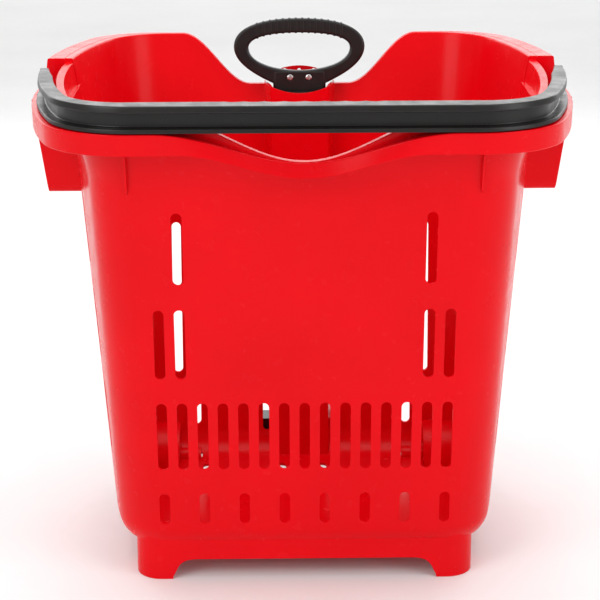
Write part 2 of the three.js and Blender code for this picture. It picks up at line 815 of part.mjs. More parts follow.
// The bar's section: a broad top flange, a web below it and a lower flange, with a groove facing out.
function handleSection(station, fromEnd) {
  const side = Math.abs(station.nx);
  const inner = fromEnd === 0 ? HANDLE_END_INNER : between(HANDLE_INNER, side);
  const webInner = Math.max(HANDLE_WEB_INNER, inner + 0.5);
  const webOuter = webInner + HANDLE_WEB;
  const topOuter = between(HANDLE_TOP_OUTER, side);
  const bottomOuter = between(HANDLE_BOTTOM_OUTER, side);
  return [
    [inner, HANDLE_TOP],
    [topOuter - 1, HANDLE_TOP],
    [topOuter, HANDLE_TOP - HANDLE_EDGE],
    [webOuter, HANDLE_GROOVE_TOP],
    [webOuter, HANDLE_GROOVE_BOTTOM + 0.7],
    [bottomOuter - 0.5, HANDLE_GROOVE_BOTTOM],
    [bottomOuter, HANDLE_BOTTOM],
    [webInner, HANDLE_BOTTOM],
    [webInner, HANDLE_GROOVE_TOP + 0.3],
    [inner, HANDLE_TOP - HANDLE_EDGE + 0.3],
  ];
}

// The arm's end: it turns down from the bar's rounded nose to the eye round the pivot.
function handleLeg() {
  const front = -14;
  const noseY = 3 - HANDLE_NOSE_RADIUS;
  const shape = new THREE.Shape();
  shape.moveTo(-HANDLE_EYE_RADIUS, PIVOT_Z);
  shape.lineTo(front, PIVOT_Z + 22);
  shape.lineTo(front, HANDLE_TOP);
  shape.lineTo(noseY, HANDLE_TOP);
  shape.absarc(noseY, HANDLE_TOP - HANDLE_NOSE_RADIUS, HANDLE_NOSE_RADIUS, Math.PI / 2, 0, true);
  shape.lineTo(HANDLE_EYE_RADIUS, PIVOT_Z);
  shape.absarc(0, PIVOT_Z, HANDLE_EYE_RADIUS, 0, -Math.PI, true);
  return extrudedAlongX(shape, HANDLE_LEG_X[0], HANDLE_LEG_X[1], 6);
}

function carryHandle() {
  const right = rightHalf(HANDLE_PLAN_Z).slice(0, PIVOT_STATION + 1);
  const left = right.slice(1).map(flipped).reverse();
  const path = left.concat(right);
  const lastIndex = path.length - 1;
  const sections = path.map((station, i) => handleSection(station, Math.min(i, lastIndex - i)));
  const polygons = sections.map((section, i) =>
    section.map(([distance, z]) => outward(path[i], distance, z)),
  );
  const cap = sections[0].map(([distance, z]) => new THREE.Vector2(distance, z));
  const bore = cylinderX(boreRadius(PIVOT_PIN_RADIUS), 230, 246, 0, PIVOT_Z);
  return sweep(polygons, cap, false).add(bothSides(handleLeg())).subtract(bothSides(bore));
}

function pivotPin() {
  const headX = HANDLE_LEG_X[1] + 0.4;
  const shaft = cylinderX(PIVOT_PIN_RADIUS, 218, headX + 0.6, 0, PIVOT_Z);
  const head = cylinderX(PIN_ACCESS_RADIUS - 1, headX, headX + 5, 0, PIVOT_Z);
  return shaft.add(head);
}

// ---- pull handle, built along its own leaning axis ----

// Half sizes are [across, fore and aft].
const SLEEVE_HALF = [26.5, 8];
const SLEEVE_BORE_HALF = [24.7, 6.2];
const INNER_HALF = [24, 5.5];
const INNER_WALL = 1.7;
const SLEEVE_BOTTOM = 73.5;
const SLEEVE_LIP = 8;
const SLIDE_CLEARANCE = 0.25;
const SHOE_BOTTOM = 65.5;
const SHOE_HALF_DEPTH = 9.8;
const SPIGOT_HEIGHT = 9;
const INNER_BOTTOM = 92;
const GRIP_NECK_BOTTOM = 412;
const GRIP_SOCKET_DEPTH = 18;
const GRIP_NECK_HALF = 27;
const GRIP_SCREW_X = 9.5;
const GRIP_SCREW_Z = 426;
const GRIP_HALF_THICKNESS = 7.2;

// A rounded bar whose section is a half size made bigger or smaller all round.
function grownBar([halfX, halfY], growth, radius, z0, z1) {
  return roundedBar(halfX + growth, halfY + growth, radius, z0, z1);
}

function outerSleeve() {
  const lipBottom = SLEEVE_TOP - SLEEVE_LIP;
  const bore = grownBar(SLEEVE_BORE_HALF, 0, 2.5, SLEEVE_BOTTOM - 1, lipBottom);
  const mouth = grownBar(INNER_HALF, SLIDE_CLEARANCE, 2, lipBottom - SLEEVE_LIP, SLEEVE_TOP + 1);
  const outside = grownBar(SLEEVE_HALF, 0, 4, SLEEVE_BOTTOM, SLEEVE_TOP);
  return outside.subtract(bore).subtract(mouth);
}

function sleeveShoe() {
  const spigotTop = SLEEVE_BOTTOM + SPIGOT_HEIGHT;
  const plate = roundedBar(SLEEVE_HALF[0], SHOE_HALF_DEPTH, 4, SHOE_BOTTOM, SLEEVE_BOTTOM - 0.3);
  const spigot = grownBar(SLEEVE_BORE_HALF, -0.3, 2, SLEEVE_BOTTOM - 1, spigotTop);
  return plate.add(spigot);
}

function innerMast() {
  const top = GRIP_NECK_BOTTOM + GRIP_SOCKET_DEPTH;
  const outside = grownBar(INNER_HALF, 0, 2.2, INNER_BOTTOM, top);
  const hollow = grownBar(INNER_HALF, -INNER_WALL, 1.4, INNER_BOTTOM - 1, top + 1);
  const screwHole = cylinderY(CLEARANCE_HOLE_RADIUS, GRIP_SCREW_X, -12, 12, GRIP_SCREW_Z, 8);
  return outside.subtract(hollow).subtract(bothSides(screwHole));
}

function innerShoe() {
  const plate = grownBar(SLEEVE_BORE_HALF, -0.15, 2.3, INNER_BOTTOM - 6, INNER_BOTTOM - 0.3);
  const spigotTop = INNER_BOTTOM + SPIGOT_HEIGHT;
  const spigot = grownBar(INNER_HALF, -INNER_WALL - 0.3, 1.2, INNER_BOTTOM - 1, spigotTop);
  return plate.add(spigot);
}

// The loop seen from the front: an oval that narrows to a neck.
function gripOutline() {
  const outline = new THREE.Shape();
  outline.moveTo(GRIP_NECK_HALF, GRIP_NECK_BOTTOM);
  outline.lineTo(GRIP_NECK_HALF, 420);
  outline.bezierCurveTo(44, 428, 67, 440, 67, 457.5);
  outline.bezierCurveTo(67, 475, 45, 486, 0, 486);
  outline.bezierCurveTo(-45, 486, -67, 475, -67, 457.5);
  outline.bezierCurveTo(-67, 440, -44, 428, -GRIP_NECK_HALF, 420);
  outline.lineTo(-GRIP_NECK_HALF, GRIP_NECK_BOTTOM);
  return outline;
}

function gripOpening() {
  const opening = new THREE.Shape();
  opening.moveTo(0, 471.5);
  opening.bezierCurveTo(34, 471.5, 52, 466, 52, 456);
  opening.bezierCurveTo(52, 441, 26, 433, 0, 433);
  opening.bezierCurveTo(-26, 433, -52, 441, -52, 456);
  opening.bezierCurveTo(-52, 466, -34, 471.5, 0, 471.5);
  return opening;
}

function pullGrip() {
  const half = GRIP_HALF_THICKNESS;
  const opening = extrudedAlongY(gripOpening(), -half - 1, half + 1, 7);
  const loop = extrudedAlongY(gripOutline(), -half, half, 7).subtract(opening);
  const socketTop = GRIP_NECK_BOTTOM + GRIP_SOCKET_DEPTH + 0.4;
  const neck = roundedBar(GRIP_NECK_HALF, 8, 4, GRIP_NECK_BOTTOM, socketTop + 1.1);
  const socket = grownBar(INNER_HALF, 0.2, 2.2, GRIP_NECK_BOTTOM - 1, socketTop);
  const screwHole = cylinderY(CLEARANCE_HOLE_RADIUS, GRIP_SCREW_X, -12, 7.4, GRIP_SCREW_Z, 8);
  const headSeat = cylinderY(3.7, GRIP_SCREW_X, -12, -6.6, GRIP_SCREW_Z);
  return loop.add(neck).subtract(socket).subtract(bothSides(screwHole.add(headSeat)));
}

// A screw along Y with its head from headY0 to headY1 and a slot cut from slotY0 to slotY1.
function slottedScrew({ x, z, head, shank, slot, headRadius, shankRadius }) {
  const recess = box(x - 2, x + 2, slot[0], slot[1], z - 0.45, z + 0.45);
  return cylinderY(headRadius, x, head[0], head[1], z, ROUND)
    .add(cylinderY(shankRadius, x, shank[0], shank[1], z, 8))
    .subtract(recess);
}

function gripScrew() {
  return slottedScrew({
    x: GRIP_SCREW_X,
    z: GRIP_SCREW_Z,
    head: [-8.3, -6.8],
    shank: [-7, 6.6],
    slot: [-9, -7.9],
    headRadius: 3.35,
    shankRadius: 1.6,
  });
}

// A cover or bracket screw, driven forward from behind onto its seat.
function rearScrew(x, z, seat, tip) {
  return slottedScrew({
    x,
    z,
    head: [seat, seat + SCREW_HEAD_HEIGHT],
    shank: [tip, seat + 0.5],
    slot: [seat + SCREW_HEAD_HEIGHT - 1, seat + SCREW_HEAD_HEIGHT + 2],
    headRadius: SCREW_HEAD_RADIUS,
    shankRadius: SCREW_SHANK_RADIUS,
  });
}

const COLLAR_HALF = 30;
const COLLAR_FRONT = -10.4;
const COLLAR_REAR = 12;
const COLLAR_HEIGHT = 25;

// The collar that guides the outer mast at the channel's top.
function guideCollar() {
  const outline = polygonShape([
    [-COLLAR_HALF, COLLAR_FRONT + 3],
    [-COLLAR_HALF + 2, COLLAR_FRONT],
    [COLLAR_HALF - 2, COLLAR_FRONT],
    [COLLAR_HALF, COLLAR_FRONT + 3],
    [COLLAR_HALF, COLLAR_REAR],
    [-COLLAR_HALF, COLLAR_REAR],
  ]);
  const body = extruded(outline, COLLAR_HEIGHT, 1);
  body.translate(0, 0, SLEEVE_TOP - COLLAR_HEIGHT - 1);
  const opening = grownBar(SLEEVE_HALF, 0.35, 4, SLEEVE_TOP - COLLAR_HEIGHT - 5, SLEEVE_TOP + 2);
  return toSolid(body).subtract(opening);
}

// ---- channel cover, built along the rear wall ----

const COVER_TOP = 414;
const COVER_FLANGE_BOTTOM = 98;
const COVER_FLANGE_TOP = 390;
const COVER_FLANGE_HALF = 42.5;
const COVER_SEAT = 3.3;
const COVER_BACK = 14;
const TAB_HALF = 18.7;
const TAB_SHOULDER = 434.5;
const TAB_HOLE_Z = 432.5;

// The cover's plan: a shallow hat section with a flange on each side.
function coverSection() {
  const inside = COVER_HALF - WALL;
  const edge = COVER_FLANGE_HALF;
  const right = [
    [inside, COVER_BACK],
    [inside, COVER_SEAT],
    [edge, COVER_SEAT],
    [edge, COVER_SEAT + WALL],
    [COVER_HALF, COVER_SEAT + WALL],
    [COVER_HALF, COVER_BACK + WALL],
  ];
  const left = right.map(([x, y]) => [-x, y]).reverse();
  return polygonShape(right.concat(left));
}

// The tab that stands up behind the grip, with three small holes.
function coverTab() {
  const tab = new THREE.Shape();
  tab.moveTo(-TAB_HALF, COVER_TOP - 10);
  tab.lineTo(TAB_HALF, COVER_TOP - 10);
  tab.lineTo(TAB_HALF, TAB_SHOULDER);
  tab.quadraticCurveTo(0, TAB_SHOULDER + 5.5, -TAB_HALF, TAB_SHOULDER);
  const radius = CLEARANCE_HOLE_RADIUS;
  const holes = [-15, 0, 15].map((x) => cylinderY(radius, x, COVER_BACK - 5, COVER_BACK + 8, TAB_HOLE_Z, 10));
  return extrudedAlongY(tab, COVER_BACK, COVER_BACK + WALL, 6).subtract(joined(holes));
}

function channelCover() {
  const hat = extruded(coverSection(), COVER_TOP - COVER_BOTTOM, 1);
  hat.translate(0, 0, COVER_BOTTOM);
  const screwHoles = COVER_SCREW_HEIGHTS.map((z) =>
    cylinderY(CLEARANCE_HOLE_RADIUS, COVER_SCREW_X, 0, 10, z, 10),
  );
  const footRelief = box(COVER_HALF, 60, 0, 12, COVER_BOTTOM - 1, COVER_FLANGE_BOTTOM);
  const topRelief = box(COVER_HALF, 60, 0, 12, COVER_FLANGE_TOP, COVER_TOP + 1);
  return toSolid(hat)
    .subtract(bothSides(joined(screwHoles)))
    .subtract(bothSides(footRelief.add(topRelief)))
    .add(coverTab());
}

function coverScrew(z) {
  return rearScrew(COVER_SCREW_X, z, COVER_SEAT + WALL + 0.1, -1);
}

// ---- foot bracket under the channel ----

const BRACKET_HALF = 46;
const BRACKET_PLATE = 3.4;
const BRACKET_BOTTOM = 40;
const BRACKET_SHELF = 59;
const BRACKET_TOP = 63;
const BRACKET_REAR_Y = 166;

// An angle with a shelf to the rear, stiffened by three webs, that the foot pushes on.
function footBracket() {
  const plateY = BRACKET_FRONT_Y + BRACKET_PLATE;
  const profile = polygonShape([
    [BRACKET_FRONT_Y, BRACKET_BOTTOM],
    [plateY, BRACKET_BOTTOM],
    [plateY, BRACKET_SHELF - 3],
    [plateY + 2.6, BRACKET_SHELF],
    [BRACKET_REAR_Y - 2, BRACKET_SHELF],
    [BRACKET_REAR_Y, BRACKET_SHELF + 1.5],
    [BRACKET_REAR_Y, BRACKET_TOP],
    [BRACKET_FRONT_Y, BRACKET_TOP],
  ]);
  const web = polygonShape([
    [BRACKET_FRONT_Y, BRACKET_BOTTOM + 2],
    [BRACKET_FRONT_Y + 4, BRACKET_BOTTOM + 2],
    [BRACKET_REAR_Y - 4, BRACKET_SHELF + 1],
    [BRACKET_FRONT_Y, BRACKET_SHELF + 1],
  ]);
  const screwHole = cylinderY(CLEARANCE_HOLE_RADIUS, BRACKET_SCREW_X, 136, 150, BRACKET_SCREW_Z, 10);
  const angle = extrudedAlongX(profile, -BRACKET_HALF, BRACKET_HALF, 1);
  return angle
    .add(bothSides(extrudedAlongX(web, BRACKET_HALF - 3.5, BRACKET_HALF - 1, 1)))
    .add(extrudedAlongX(web, -1.5, 1.5, 1))
    .subtract(bothSides(screwHole));
}

function bracketScrew() {
  return rearScrew(BRACKET_SCREW_X, BRACKET_SCREW_Z, BRACKET_FRONT_Y + BRACKET_PLATE + 0.1, 129);
}

// ---- wheels ----

const HUB_RADIUS = 23.5;
const HUB_RIM_INNER = 19;
const HUB_BOSS_RADIUS = 7.5;
const WHEEL_OUTER_X = WHEEL_INNER_X + WHEEL_WIDTH;

// A profile of [radius, distance along the axle] turned about the axle.
function turned(profile) {
  const points = profile.map(([radius, along]) => new THREE.Vector2(radius, along));
  const geometry = new THREE.LatheGeometry(points.concat(points[0].clone()), ROUND);
  geometry.rotateZ(-Math.PI / 2);
  geometry.translate(0, WHEEL_Y, WHEEL_RADIUS);
  return toSolid(geometry);
}

// A hub with a rim, a recessed disc on each side and a boss that runs up to the tub.
function wheelHub() {
  const bore = boreRadius(AXLE_RADIUS);
  const innerFace = WHEEL_INNER_X - 3.2;
  return turned([
    [bore, innerFace],
    [HUB_BOSS_RADIUS, innerFace],
    [HUB_BOSS_RADIUS, WHEEL_INNER_X + 7.5],
    [HUB_RIM_INNER, WHEEL_INNER_X + 7.5],
    [HUB_RIM_INNER, WHEEL_INNER_X + 1.5],
    [HUB_RADIUS, WHEEL_INNER_X + 1.5],
    [HUB_RADIUS, WHEEL_OUTER_X - 1.5],
    [HUB_RIM_INNER, WHEEL_OUTER_X - 1.5],
    [HUB_RIM_INNER, WHEEL_OUTER_X - 5.5],
    [HUB_BOSS_RADIUS, WHEEL_OUTER_X - 5.5],
    [HUB_BOSS_RADIUS, WHEEL_OUTER_X - 1],
    [bore, WHEEL_OUTER_X - 1],
  ]);
}

function tyre() {
  const inner = HUB_RADIUS / Math.cos(Math.PI / ROUND) + 0.1;
  return turned([
    [inner, WHEEL_INNER_X + 1],
    [WHEEL_RADIUS - 2.5, WHEEL_INNER_X],
    [WHEEL_RADIUS - 0.5, WHEEL_INNER_X + 2.5],
    [WHEEL_RADIUS, WHEEL_INNER_X + 6],
    [WHEEL_RADIUS, WHEEL_OUTER_X - 6],
    [WHEEL_RADIUS - 0.5, WHEEL_OUTER_X - 2.5],
    [WHEEL_RADIUS - 2.5, WHEEL_OUTER_X],
    [inner, WHEEL_OUTER_X - 1],
  ]);
}

const AXLE_END_X = WHEEL_OUTER_X + 3.4;

function axlePin() {
  return cylinderX(AXLE_RADIUS, AXLE_BOSS_INNER_X + 0.5, AXLE_END_X, WHEEL_Y, WHEEL_RADIUS);
}

// A push-on cap that keeps the wheel on its pin.
function axleCap() {
  const flangeX = WHEEL_OUTER_X - 0.4;
  const socketEnd = AXLE_END_X + 0.3;
  const crown = socketEnd + 1.9;
  const bore = boreRadius(AXLE_RADIUS, 0.1);
  return turned([
    [bore, flangeX],
    [9, flangeX],
    [9, flangeX + 3],
    [7, crown - 0.7],
    [3, crown],
    [0, crown],
    [0, socketEnd],
    [bore, socketEnd],
  ]);
}

// ---- assembly ----

const basket = new THREE.Group();

function place(name, solid, look, parent = basket) {
  parent.add(piece(name, toGeometry(solid), look));
}

function placePair(name, solid, look, parent = basket) {
  place(`right_${name}`, solid, look, parent);
  place(`left_${name}`, mirrored(solid), look, parent);
}

place('basket_tub', basketTub(), RED);

const coverFrame = new THREE.Group();
coverFrame.position.set(0, COVER_FOOT_Y, 0);
coverFrame.rotation.x = -COVER_LEAN;
place('rear_channel_cover', channelCover(), RED, coverFrame);
placePair('lower_cover_screw', coverScrew(COVER_SCREW_HEIGHTS[0]), ZINC, coverFrame);
placePair('upper_cover_screw', coverScrew(COVER_SCREW_HEIGHTS[1]), ZINC, coverFrame);
basket.add(coverFrame);

place('foot_bracket', footBracket(), BLACK);
placePair('bracket_screw', bracketScrew(), ZINC);

place('carry_handle', carryHandle(), BLACK);
placePair('pivot_pin', pivotPin(), BLACK);

const mastFrame = new THREE.Group();
mastFrame.position.set(0, MAST_FOOT_Y, 0);
mastFrame.rotation.x = -MAST_LEAN;
place('mast_guide_collar', guideCollar(), BLACK, mastFrame);
place('outer_mast', outerSleeve(), BLACK, mastFrame);
place('outer_mast_shoe', sleeveShoe(), BLACK, mastFrame);
place('inner_mast', innerMast(), BLACK, mastFrame);
place('inner_mast_shoe', innerShoe(), BLACK, mastFrame);
place('pull_grip', pullGrip(), BLACK, mastFrame);
placePair('grip_screw', gripScrew(), ZINC, mastFrame);
basket.add(mastFrame);

placePair('axle_pin', axlePin(), ZINC);
placePair('axle_cap', axleCap(), BLACK);
placePair('wheel_hub', wheelHub(), BLACK);
placePair('tyre', tyre(), GREY_RUBBER);

export default basket;
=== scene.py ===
# A wheeled shopping basket: the fine surfaces, finishes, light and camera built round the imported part.
# Shapes are worked out in millimetres in the part's own frame and stored in metres.
import json
import math

import bmesh
import bpy
from mathutils import Matrix, Vector


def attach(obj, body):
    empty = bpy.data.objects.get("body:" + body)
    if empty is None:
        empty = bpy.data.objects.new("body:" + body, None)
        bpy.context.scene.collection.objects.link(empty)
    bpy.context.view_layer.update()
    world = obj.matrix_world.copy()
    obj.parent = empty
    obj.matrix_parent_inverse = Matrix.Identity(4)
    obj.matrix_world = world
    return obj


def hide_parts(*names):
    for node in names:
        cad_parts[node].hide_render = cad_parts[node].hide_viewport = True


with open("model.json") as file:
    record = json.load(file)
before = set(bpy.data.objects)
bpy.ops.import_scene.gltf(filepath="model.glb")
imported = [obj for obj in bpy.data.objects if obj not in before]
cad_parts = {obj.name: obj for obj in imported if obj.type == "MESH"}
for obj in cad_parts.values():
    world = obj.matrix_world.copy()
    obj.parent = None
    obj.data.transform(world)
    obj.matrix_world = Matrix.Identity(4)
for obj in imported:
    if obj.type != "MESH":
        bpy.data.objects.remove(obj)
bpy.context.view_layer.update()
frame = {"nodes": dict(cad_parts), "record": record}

MM = 0.001

# ---- driving dimensions, in millimetres ----

WALL = 2.6
REFERENCE_HEIGHT = 250
FRONT_DEPTH = 145.2
REAR_DEPTH = 161
FRONT_REAR_DRAFT = 0.114
SIDE_HALF_WIDTH = 198.4
SIDE_DRAFT = 0.0742
SIDE_RADIUS = 420
FRONT_CORNER_RADIUS = 48
REAR_CORNER_RADIUS = 55

BOTTOM = 27
BOTTOM_FILLET = 27
FLARE_START = 390
WALL_TOP = 396

RIM_TOP = 467.5
RIM_STEP_Y = 40
LIP_STEP_TOP = 464
LIP_FRONT_TOP = 457
LIP_SLOPE_LENGTH = 140
LEDGE_TOP = 443
SKIRT_BOTTOM = 424
FRONT_DIP_DEPTH = 42
FRONT_DIP_HALF = 128
SKIRT_DIP_DEPTH = 22
SKIRT_DIP_HALF = 108
REAR_DIP_DEPTH = 51.5
REAR_DIP_MIDDLE = 84
REAR_DIP_HALF = 34

# Distances out from the wall to the rim's edges: (at the middle of the front or rear, at the sides).
LIP_INNER = (7.5, 4.5)
LIP_OUTER = (15.5, 12)
LEDGE_OUTER = (31, 35.5)
LEDGE_OUTER_AT_DIP = 17
FRONT_SKIRT_OUTER = (32, 36.5)
FRONT_SKIRT_OUTER_AT_DIP = 24.5
REAR_RIM_INNER = (5, 4)
REAR_RIM_OUTER = (12.8, 28)
REAR_SKIRT_OUTER = (16.5, 36.5)

SLOT_WIDTH = 9.5
SLOT_PITCH = 18.5
ROW_1 = (298.4, 365.5)
ROW_2 = (207.4, 274.6)
ROW_3 = (115.8, 183.2)
ROW_4 = (59.1, 90.8)

CHANNEL_FRONT_AT_TOP = 150
CHANNEL_TOP = 419
CHANNEL_SLOPE = 0.085
CHANNEL_FRONT_HALF = 29.6
CHANNEL_FRONT_HALF_DRAFT = 1.6
CHANNEL_REAR_HALF = 36
CHANNEL_REAR_HALF_DRAFT = 4.5
CHANNEL_POCKET_FLOOR = 64
COVER_BOTTOM = 66
COVER_HALF = 33.8
COVER_LEAN = math.atan(FRONT_REAR_DRAFT)
COVER_FOOT_Y = REAR_DEPTH - FRONT_REAR_DRAFT * REFERENCE_HEIGHT
MAST_LEAN = math.atan(0.1)
MAST_FOOT_Y = 136
SLEEVE_TOP = 411.5

PIVOT_Z = 430
WHEEL_Y = 118
WHEEL_RADIUS = 30
ARCH_INNER_X = 130
ARCH_RADIUS = 34
HUB_RADIUS = 23.5

STRAIGHT_STEPS = 60
CORNER_STEPS = 16
SIDE_STEPS = 12


# ---- solids as meshes ----


def make_mesh(points, faces):
    mesh = bpy.data.meshes.new("solid")
    mesh.from_pydata([(x * MM, y * MM, z * MM) for x, y, z in points], [], faces)
    shape = bmesh.new()
    shape.from_mesh(mesh)
    bmesh.ops.recalc_face_normals(shape, faces=shape.faces)
    shape.to_mesh(mesh)
    shape.free()
    return mesh


# Joins equal polygons one after another.
# A ring joins the last to the first; otherwise both ends are capped.
def sweep(polygons, is_ring=False):
    count = len(polygons[0])
    points = [point for polygon in polygons for point in polygon]
    faces = []
    spans = len(polygons) if is_ring else len(polygons) - 1
    for i in range(spans):
        here = i * count
        there = ((i + 1) % len(polygons)) * count
        for j in range(count):
            k = (j + 1) % count
            faces.append((here + j, here + k, there + k, there + j))
    if not is_ring:
        last = (len(polygons) - 1) * count
        faces.append(tuple(range(count)))
        faces.append(tuple(last + j for j in range(count)))
    return make_mesh(points, faces)


def block(x0, x1, y0, y1, z0, z1):
    corners = [(x0, y0), (x1, y0), (x1, y1), (x0, y1)]
    return sweep([[(x, y, z) for x, y in corners] for z in (z0, z1)])


def prism_x(outline, x0, x1):
    return sweep([[(x, y, z) for y, z in outline] for x in (x0, x1)])


def prism_y(outline, y0, y1):
    return sweep([[(x, y, z) for x, z in outline] for y in (y0, y1)])


def prism_z(outline, z0, z1):
    return sweep([[(x, y, z) for x, y in outline] for z in (z0, z1)])


def arc(centre_a, centre_b, radius, start, end, steps):
    points = []
    for i in range(steps + 1):
        angle = math.radians(start + (end - start) * i / steps)
        points.append((centre_a + radius * math.cos(angle), centre_b + radius * math.sin(angle)))
    return points


def circle(centre_a, centre_b, radius, steps=48):
    return arc(centre_a, centre_b, radius, 0, 360, steps)[:-1]


def cylinder_x(radius, x0, x1, y, z, steps=48):
    return prism_x(circle(y, z, radius, steps), x0, x1)


def cylinder_y(radius, x, y0, y1, z, steps=48):
    return prism_y(circle(x, z, radius, steps), y0, y1)


# A cubic curve from a to d with handles b and c.
def curve(a, b, c, d, steps=14):
    points = []
    for i in range(steps + 1):
        t = i / steps
        weights = ((1 - t) ** 3, 3 * t * (1 - t) ** 2, 3 * t * t * (1 - t), t ** 3)
        points.append(tuple(sum(w * p[n] for w, p in zip(weights, (a, b, c, d))) for n in (0, 1)))
    return points


# Rounds each corner of a closed outline by its own radius.
def rounded(outline, radii, steps=3):
    result = []
    for i, (corner, radius) in enumerate(zip(outline, radii)):
        if radius == 0:
            result.append(corner)
            continue
        here = Vector(corner)
        before = Vector(outline[i - 1]) - here
        after = Vector(outline[(i + 1) % len(outline)]) - here
        half = max(before.angle(after) / 2, 0.05)
        reach = radius / math.tan(half)
        reach = min(reach, before.length * 0.45, after.length * 0.45)
        start = here + before.normalized() * reach
        end = here + after.normalized() * reach
        for k in range(steps + 1):
            t = k / steps
            point = start * (1 - t) ** 2 + here * (2 * t * (1 - t)) + end * t * t
            result.append((point.x, point.y))
    return result


def mirrored(mesh):
    copy = mesh.copy()
    copy.transform(Matrix.Scale(-1, 4, (1, 0, 0)))
    copy.flip_normals()
    return copy


def pair(mesh):
    return [mesh, mirrored(mesh)]


def moved(mesh, matrix):
    copy = mesh.copy()
    copy.transform(matrix)
    return copy


def joined(meshes):
    shape = bmesh.new()
    for mesh in meshes:
        shape.from_mesh(mesh)
    result = bpy.data.meshes.new("joined")
    shape.to_mesh(result)
    shape.free()
    return result


# Applies a list of (operation, mesh) to a base solid.
def carve(base, steps):
    scene = bpy.context.scene.collection
    target = bpy.data.objects.new("target", base)
    scene.objects.link(target)
    tools = []
    for operation, mesh in steps:
        tool = bpy.data.objects.new("tool", mesh)
        scene.objects.link(tool)
        tools.append(tool)
        modifier = target.modifiers.new("step", "BOOLEAN")
        modifier.operation = operation
        modifier.solver = "MANIFOLD"
        modifier.object = tool
    bpy.context.view_layer.update()
    graph = bpy.context.evaluated_depsgraph_get()
    result = bpy.data.meshes.new_from_object(target.evaluated_get(graph))
    for item in tools + [target]:
        bpy.data.objects.remove(item)
    return result


def add(meshes):
    return [("UNION", mesh) for mesh in meshes]


def cut(meshes):
    return [("DIFFERENCE", mesh) for mesh in meshes]


# ---- the tub's plan ----


def mix(a, b, t):
    return a + (b - a) * t


def clamp(value, low, high):
    return max(low, min(high, value))


def front_y(z):
    return -(FRONT_DEPTH + FRONT_REAR_DRAFT * (z - REFERENCE_HEIGHT))


def rear_y(z):
    return REAR_DEPTH + FRONT_REAR_DRAFT * (z - REFERENCE_HEIGHT)


def side_x(z):
    return SIDE_HALF_WIDTH + SIDE_DRAFT * (z - REFERENCE_HEIGHT)


def arc_stations(centre_x, centre_y, radius, start, end, steps):
    stations = []
    for i in range(steps):
        angle = mix(start, end, i / steps)
        nx = math.cos(angle)
        ny = math.sin(angle)
        stations.append((centre_x + radius * nx, centre_y + radius * ny, nx, ny))
    return stations


# Stations (x, y, nx, ny) on the outer wall at height z, from the front's middle round the right side
# to the rear's middle: flat front, round corner, bowed side, round corner, flat rear.
def right_half(z):
    bow = side_x(z) - SIDE_RADIUS
    front_cy = front_y(z) + FRONT_CORNER_RADIUS
    rear_cy = rear_y(z) - REAR_CORNER_RADIUS
    front_cx = bow + math.sqrt((SIDE_RADIUS - FRONT_CORNER_RADIUS) ** 2 - front_cy ** 2)
    rear_cx = bow + math.sqrt((SIDE_RADIUS - REAR_CORNER_RADIUS) ** 2 - rear_cy ** 2)
    front_angle = math.atan2(front_cy, front_cx - bow)
    rear_angle = math.atan2(rear_cy, rear_cx - bow)
    quarter = math.pi / 2
    stations = [(front_cx * i / STRAIGHT_STEPS, front_y(z), 0, -1) for i in range(STRAIGHT_STEPS)]
    stations += arc_stations(
        front_cx, front_cy, FRONT_CORNER_RADIUS, -quarter, front_angle, CORNER_STEPS
    )
    stations += arc_stations(bow, 0, SIDE_RADIUS, front_angle, 0, SIDE_STEPS)
    stations += arc_stations(bow, 0, SIDE_RADIUS, 0, rear_angle, SIDE_STEPS)
    stations += arc_stations(rear_cx, rear_cy, REAR_CORNER_RADIUS, rear_angle, quarter, CORNER_STEPS)
    for i in range(STRAIGHT_STEPS + 1):
        stations.append((rear_cx * (1 - i / STRAIGHT_STEPS), rear_y(z), 0, 1))
    return stations


def flipped(station):
    x, y, nx, ny = station
    return (-x, y, -nx, ny)


def whole_plan(z):
    right = right_half(z)
    return right + [flipped(station) for station in reversed(right[1:-1])]


def outward(station, distance, z):
    x, y, nx, ny = station
    return (x + nx * distance, y + ny * distance, z)


def plan_level(z, distance):
    return [outward(station, distance, z) for station in whole_plan(z)]


def fillet_levels(bottom, radius, inset, steps=9):
    levels = []
    for i in range(steps + 1):
        angle = math.pi / 2 * i / steps
        z = bottom + radius * (1 - math.cos(angle))
        levels.append(plan_level(z, -inset - radius * (1 - math.sin(angle))))
    return levels


def outer_body():
    levels = fillet_levels(BOTTOM, BOTTOM_FILLET, 0)
    return sweep(levels + [plan_level(FLARE_START, 0), plan_level(WALL_TOP, 0)])


def inner_hollow():
    levels = fillet_levels(BOTTOM + WALL, BOTTOM_FILLET - WALL, WALL)
    return sweep(levels + [plan_level(FLARE_START, -WALL), plan_level(WALL_TOP + 2, -WALL)])


# ---- the rim ----


# A smooth hollow, 1 in the middle and 0 from half its width outward.
def dip(x, half):
    return (1 + math.cos(math.pi * x / half)) / 2 if abs(x) < half else 0


def lip_top(x, y):
    along = clamp((RIM_STEP_Y - y) / LIP_SLOPE_LENGTH, 0, 1)
    return mix(LIP_STEP_TOP, LIP_FRONT_TOP, along) - FRONT_DIP_DEPTH * dip(x, FRONT_DIP_HALF)


def rear_rim_top(x):
    swing = clamp((abs(x) - REAR_DIP_MIDDLE) / REAR_DIP_HALF, -1, 1)
    return RIM_TOP - REAR_DIP_DEPTH * (1 - math.sin(swing * math.pi / 2)) / 2


